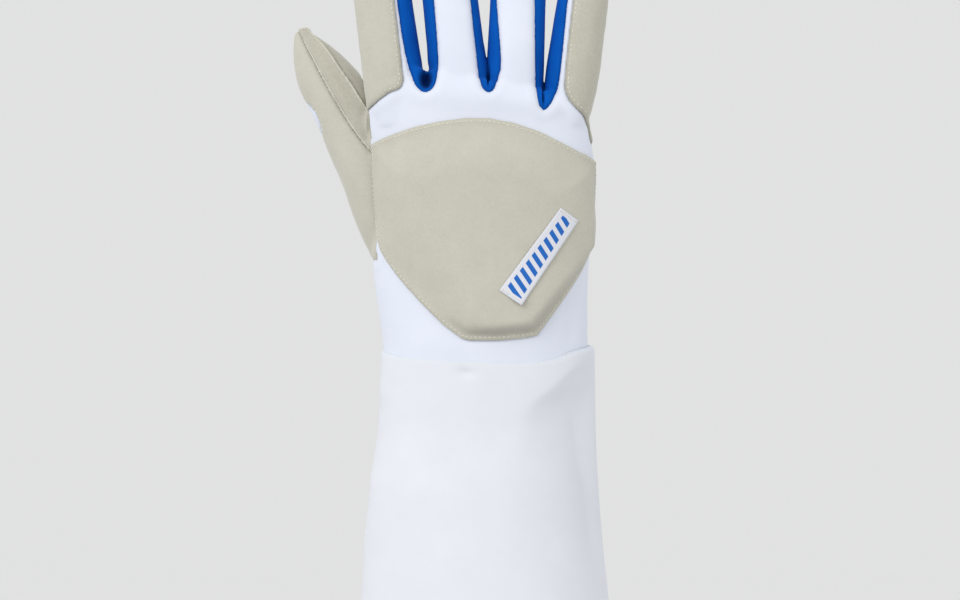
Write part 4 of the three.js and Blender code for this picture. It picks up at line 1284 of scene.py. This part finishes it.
# The tape stands a little off the guard in its middle, and lifts at its lower right corner.
LABEL_HOLLOW = 0.25
LABEL_LIFT = 1.1
LIFT_LENGTH = 0.12
LABEL_STEPS = (64, 14)
LABEL_STITCH_AT = 0.475
LABEL_STITCH_SPAN = 0.4
LABEL_STITCHES = 7
TAPE_WHITE = (0.74, 0.745, 0.8, 1)
TAPE_SHADE = (0.68, 0.69, 0.75, 1)
TAPE_BLUE = (0.01, 0.13, 0.5, 1)
TAPE_THREAD = 0.42
# The bars are tall at the tape's lower end and lower towards its upper end: BAR_TOPS are half their heights
# there, as shares of the tape's width. BAR_ENDS is the share of its length that is bare at each end.
BAR_PITCH = 4.3
BAR_SLANT = 0.45
BAR_SHARE = 0.56
BAR_ENDS = 0.045
BAR_TOPS = (0.37, 0.24)
pad_shape = bmesh.new()
pad_shape.from_mesh(pad_piece.data)
pad_surface = BVHTree.FromBMesh(pad_shape)
pad_shape.free()
label_along = Vector((math.cos(math.radians(LABEL_TURN)), 0, math.sin(math.radians(LABEL_TURN))))
label_across = Vector((-label_along.z, 0, label_along.x))


def on_label(along, across):
    """A place on the label's face, in shares of its length and width from its middle, and its direction."""
    flat_place = Vector((LABEL_MIDDLE[0], 0, LABEL_MIDDLE[1]))
    width = mix(LABEL_LOW_WIDTH, LABEL_WIDTH, along + 0.5)
    flat_place += label_along * along * LABEL_LENGTH + label_across * across * width
    hit, normal = seen_from_back(flat_place.x, flat_place.z, pad_surface)
    near_end, near_side = ease((LIFT_LENGTH - 0.5 - along) / LIFT_LENGTH), ease((0.2 - across) / 0.7)
    off_guard = LABEL_HOLLOW * math.cos(math.pi * along) + LABEL_LIFT * float(near_end) * float(near_side)
    return hit / MM + normal * (LABEL_THICKNESS + off_guard), normal


def grid_of_cloth(x_steps, y_steps):
    """A flat grid from -0.5 to 0.5 each way, with a UV map that follows its threads."""
    mesh = bmesh.new()
    bmesh.ops.create_grid(mesh, x_segments=x_steps, y_segments=y_steps, size=0.5)
    threads = mesh.loops.layers.uv.new("weave")
    for face in mesh.faces:
        for loop in face.loops:
            loop[threads].uv = (loop.vert.co.x + 0.5, loop.vert.co.y + 0.5)
    return mesh


label = grid_of_cloth(*LABEL_STEPS)
for vertex in label.verts:
    vertex.co = on_label(vertex.co.x, vertex.co.y)[0] * MM
turned_to_view(label)
label_piece = linked("label_tape", label)
thickened(label_piece, LABEL_THICKNESS)


def worked(material, operation, first, second=0.0):
    """A sum on numbers or on other nodes' outputs."""
    node = material.node_tree.nodes.new("ShaderNodeMath")
    node.operation = operation
    for socket, value in zip(node.inputs, (first, second)):
        if isinstance(value, bpy.types.NodeSocket):
            material.node_tree.links.new(value, socket)
        else:
            socket.default_value = value
    return node.outputs[0]


def woven_places(material, length, width):
    """How far along and across a piece of cloth each place is, in millimetres, by its own UV map."""
    uv = material.node_tree.nodes.new("ShaderNodeUVMap")
    uv.uv_map = "weave"
    parts = material.node_tree.nodes.new("ShaderNodeSeparateXYZ")
    material.node_tree.links.new(uv.outputs["UV"], parts.inputs["Vector"])
    sizes = zip(("X", "Y"), (length, width))
    return [worked(material, "MULTIPLY", parts.outputs[way], size) for way, size in sizes]


def weave_height(material, along, across, thread_width):
    """A plain weave: threads over and under each other, as a height from 0 to 1."""
    waves = [worked(material, "SINE", worked(material, "MULTIPLY", place, math.pi / thread_width))
             for place in (along, across)]
    return spread(material, worked(material, "MULTIPLY", *waves), -1, 1)


def tape_finish():
    """White woven tape with plain slanting blue bars."""
    tape, shader = new_material("label_tape")
    link = tape.node_tree.links.new
    along, across = woven_places(tape, LABEL_LENGTH, LABEL_WIDTH)
    weave = weave_height(tape, along, across, TAPE_THREAD)
    slanted = worked(tape, "SUBTRACT", along, worked(tape, "MULTIPLY", across, BAR_SLANT))
    in_pitch = worked(tape, "FRACT", worked(tape, "DIVIDE", slanted, BAR_PITCH))
    bars = spread(tape, in_pitch, BAR_SHARE, BAR_SHARE - 0.06)
    tops = spread(tape, along, 0, LABEL_LENGTH, *(top * LABEL_WIDTH for top in BAR_TOPS))
    from_axis = worked(tape, "ABSOLUTE", worked(tape, "SUBTRACT", across, LABEL_WIDTH / 2))
    below_tops = spread(tape, worked(tape, "SUBTRACT", tops, from_axis), 0, 0.25)
    from_middle = worked(tape, "ABSOLUTE", worked(tape, "SUBTRACT", along, LABEL_LENGTH / 2))
    ends = [LABEL_LENGTH * (share - BAR_ENDS) for share in (0.5, 0.49)]
    between_ends = spread(tape, from_middle, *ends)
    printed = worked(tape, "MULTIPLY", worked(tape, "MULTIPLY", bars, below_tops), between_ends)
    ground = blend_colour(tape, weave, TAPE_SHADE, TAPE_WHITE)
    link(blend_colour(tape, printed, ground, TAPE_BLUE), shader.inputs["Base Color"])
    link(spread(tape, weave, 0, 1, 0.55, 0.7), shader.inputs["Roughness"])
    shader.inputs["Specular IOR Level"].default_value = 0.3
    bumped(tape, shader, weave, 0.5, 0.12)
    return tape


worn(label_piece, tape_finish(), "label_tape", "label")
label_stitches = bmesh.new()
for end in (-LABEL_STITCH_AT, LABEL_STITCH_AT):
    row = np.linspace(-LABEL_STITCH_SPAN, LABEL_STITCH_SPAN, LABEL_STITCHES)
    stitch_row(label_stitches, [on_label(end, across) for across in row])
stitched("label_stitches", label_stitches, thread, "label_tape")

# The cuff
# The long gauntlet cuff is a flared tube of white cloth, closed by one seam on the palm's side and sewn round
# the wrist. It hangs in soft folds, and its end is turned up in a deep hem with two rows of stitches.
CUFF_LENGTH = 165
CUFF_END_WIDTH = 117
CUFF_END_DEPTH = 96
CUFF_TOP_WIDTH = 96.2
CUFF_TOP_DEPTH = 54.8
CUFF_FORE = 3.06
CUFF_SQUARE = 2.2
CUFF_WALL = 1.6
CUFF_SIDES = 240
# The rings lie closer together near the top, by the share CUFF_CROWDED.
CUFF_RINGS = 150
CUFF_CROWDED = 0.35
CUFF_LIGHT = (0.765, 0.79, 0.835, 1)
CUFF_DARK = (0.735, 0.76, 0.81, 1)
HEM_THREAD_LIGHT = (0.86, 0.88, 0.92, 1)
HEM_THREAD_DARK = (0.72, 0.75, 0.8, 1)
# flare goes from the top's size at 0 to the end's at 1, and side is where the middle is, in millimetres.
CUFF_ROWS = [
    dict(drop=0, flare=0, side=1.1),
    dict(drop=0.117, flare=0.05, side=0.8),
    dict(drop=0.235, flare=0.12, side=0.4),
    dict(drop=0.376, flare=0.33, side=-0.7),
    dict(drop=0.565, flare=0.58, side=-0.8),
    dict(drop=0.69, flare=0.74, side=-0.3),
    dict(drop=0.85, flare=0.88, side=-0.8),
    dict(drop=1, flare=1, side=-1.2),
]
# The top edge dips on the back of the wrist. bearing is degrees round the cuff, from the back towards the
# little finger's side, and height is in millimetres.
CUFF_RIM = [
    dict(bearing=-180, height=0),
    dict(bearing=-90, height=-0.8),
    dict(bearing=-58, height=-3.2),
    dict(bearing=-12, height=-5.4),
    dict(bearing=20, height=-6.2),
    dict(bearing=38, height=-4.6),
    dict(bearing=54, height=-1.5),
    dict(bearing=76, height=0.3),
    dict(bearing=180, height=0),
]
# The cloth turns in over RIM_TURN at its top, to RIM_INSIDE within the wrist's outline, and the rim's height
# fades out over RIM_FADE, a share of the cuff's length.
RIM_TURN, RIM_INSIDE, RIM_FADE = 2, 0.4, 0.3
# drop and reach are shares of the cuff's length, spread is in degrees and depth in millimetres. The first is
# the small dent where the rim is caught by the seam.
CUFF_DENTS = [
    dict(bearing=-10, drop=0.032, reach=0.018, spread=4, depth=0.9),
    dict(bearing=-150, drop=0.25, reach=0.2, spread=30, depth=2.2),
    dict(bearing=150, drop=0.6, reach=0.25, spread=28, depth=2),
]
# A soft fold runs down the cuff from its right corner, to the right of which the cloth lies back. x is where
# it is, soft is how wide its bend is, and slope how steeply the cloth lies back.
CUFF_FOLD = [
    dict(drop=0.03, x=41, soft=2, slope=0.2),
    dict(drop=0.09, x=28.5, soft=2, slope=0.25),
    dict(drop=0.131, x=21, soft=2.5, slope=0.28),
    dict(drop=0.169, x=18.2, soft=3, slope=0.28),
    dict(drop=0.25, x=17.2, soft=4, slope=0.24),
    dict(drop=0.33, x=16, soft=9, slope=0.18),
    dict(drop=0.52, x=10, soft=14, slope=0.12),
    dict(drop=0.8, x=4, soft=18, slope=0.04),
]
# Small puckers run down the thumb's side, round this bearing. They fade in below the top.
PUCKER_SIDE, PUCKER_SPREAD, PUCKER_HIGH, PUCKER_DEEP, PUCKER_FADE = -78, 26, 11, 0.5, 0.15
HEM_DEPTH, HEM_RISE, HEM_EDGE = 22, 0.45, 1.2
CUFF_SEAM_BEARING, CUFF_SEAM_DEPTH, CUFF_SEAM_SPREAD = 172, 0.7, 1.4
HEM_ROWS = (HEM_DEPTH - 2.2, HEM_DEPTH - 5)
HEM_PITCH = 3
drops = np.linspace(0, 1, CUFF_RINGS + 1)
drops = mix(drops, drops ** 2, CUFF_CROWDED)
cuff_row = between_rows(CUFF_ROWS, drops)
flare = cuff_row["flare"]
level = np.zeros_like(drops)
below_top = drops * CUFF_LENGTH
above_end = CUFF_LENGTH - below_top


def level_rings(middle_x, middle_y, half_widths, half_depths, squares):
    """Level squared ellipses, one for each of the cuff's rings."""
    return rings_round(
        np.stack((middle_x, middle_y, -below_top), 1), np.stack((level + 1, level, level), 1),
        np.stack((level, level + 1, level), 1), half_widths, half_depths, squares, CUFF_SIDES)


cuff_points = level_rings(
    cuff_row["side"], level + CUFF_FORE, mix(CUFF_TOP_WIDTH, CUFF_END_WIDTH, flare) / 2,
    mix(CUFF_TOP_DEPTH, CUFF_END_DEPTH, flare) / 2, level + CUFF_SQUARE)
cuff_middle = np.stack((cuff_row["side"], level + CUFF_FORE, -below_top), 1)
bearings = (360 * np.arange(CUFF_SIDES) / CUFF_SIDES + 90 + 180) % 360 - 180
pulled_in = np.zeros((CUFF_RINGS + 1, CUFF_SIDES))
for dent in CUFF_DENTS:
    turn = (bearings - dent["bearing"] + 180) % 360 - 180
    reach = (drops - dent["drop"]) / dent["reach"]
    below_rim = ease((drops - 0.01) / 0.03)[:, None]
    pulled_in += dent["depth"] * np.exp(-((turn / dent["spread"]) ** 2) - (reach ** 2)[:, None]) * below_rim
fold = between_rows(CUFF_FOLD, drops)
past_fold = cuff_points[..., 0] - fold["x"][:, None]
lies_back = fold["slope"][:, None] * (past_fold + np.hypot(past_fold, fold["soft"][:, None])) / 2
facing_out = np.clip((CUFF_FORE - cuff_points[..., 1]) / (CUFF_TOP_DEPTH / 2), 0, 1)
fold_shown = ease((drops - 0.01) / 0.06) * (1 - ease((drops - 0.4) / 0.5))
pulled_in += lies_back * ease(facing_out / 0.5) * fold_shown[:, None]
beside = np.exp(-(((bearings - PUCKER_SIDE) / PUCKER_SPREAD) ** 2))
for ring, drop in enumerate(drops):
    deep = PUCKER_DEEP * float(ease(drop / PUCKER_FADE))
    for side in np.flatnonzero(beside > 0.02):
        in_cloth = Vector((bearings[side] / PUCKER_SPREAD, drop * CUFF_LENGTH / PUCKER_HIGH, 0))
        pulled_in[ring, side] += deep * beside[side] * noise.noise(in_cloth)
pulled_in -= HEM_RISE * (ease((HEM_DEPTH - above_end) / HEM_EDGE))[:, None]
from_seam = (bearings - CUFF_SEAM_BEARING + 180) % 360 - 180
pulled_in += CUFF_SEAM_DEPTH * np.exp(-((from_seam / CUFF_SEAM_SPREAD) ** 2))
inward = unit(cuff_middle[:, None] - cuff_points)
cuff_points += inward * pulled_in[..., None]
wrist = palm_sizes(-below_top)
wrist_points = level_rings(wrist["middle_x"], wrist["middle_y"], wrist["half_width"] - RIM_INSIDE,
                           wrist["half_depth"] - RIM_INSIDE, wrist["square"])
turned_in = 1 - np.sqrt(1 - np.clip(1 - below_top / RIM_TURN, 0, 1) ** 2)
cuff_points = mix(cuff_points, wrist_points, turned_in[:, None, None])
cuff_points[..., 2] += between_rows(CUFF_RIM, bearings)["height"] * (1 - ease(drops / RIM_FADE))[:, None]
cuff = grid_of_cloth(CUFF_SIDES, CUFF_RINGS)
cuff_seams_and_shade = cuff.verts.layers.float.new("seam")
for vertex in cuff.verts:
    side = round((vertex.co.x + 0.5) * CUFF_SIDES) % CUFF_SIDES
    ring = round((vertex.co.y + 0.5) * CUFF_RINGS)
    # Dark lines just above the hem's edge and along the side seam, partly painted shade in their grooves, and
    # painted shade along the top rim where it turns in.
    hem_line = bump(above_end[ring] - HEM_DEPTH - 0.6, 0.8)
    vertex[cuff_seams_and_shade] = max(hem_line, bump(from_seam[side], 0.8), 0.8 * bump(below_top[ring], 1.1))
    vertex.co = cuff_points[ring, side] * MM
bmesh.ops.remove_doubles(cuff, verts=cuff.verts, dist=1e-7)
cuff.normal_update()
if sum(face.normal.y * (1 if face.calc_center_median().y > 0 else -1) for face in cuff.faces) < 0:
    bmesh.ops.reverse_faces(cuff, faces=cuff.faces)
cuff_surface = BVHTree.FromBMesh(cuff)
cuff_piece = linked("cuff_cloth", cuff)
thickened(cuff_piece, CUFF_WALL)
cuff_cloth = cloth_finish("cuff_cloth", CUFF_LIGHT, CUFF_DARK, WHITE_SEAM_AND_SHADE, sheen=0.06)
worn(cuff_piece, cuff_cloth, "cuff_cloth", "cuff")


def length_round(ring):
    """The length of a closed line."""
    return float(np.linalg.norm(ring - np.roll(ring, 1, axis=0), axis=1).sum())


# Before it was sewn up, the cuff was one flat piece, which widens from its top to its end.
cut_round = np.array([length_round(ring) for ring in cuff_points])

hem_stitches = bmesh.new()
for above in HEM_ROWS:
    ring = int(np.argmin(np.abs(above_end - above)))
    around = evenly(np.vstack((cuff_points[ring], cuff_points[ring, :1])), HEM_PITCH)
    spots = [cuff_surface.find_nearest(Vector(point) * MM)[:2] for point in around]
    stitch_row(hem_stitches, [(point / MM, normal) for point, normal in spots])
white_thread = thread_finish("white_thread", HEM_THREAD_LIGHT, HEM_THREAD_DARK)
stitched("hem_stitches", hem_stitches, white_thread, "cuff_cloth")

hand.free()
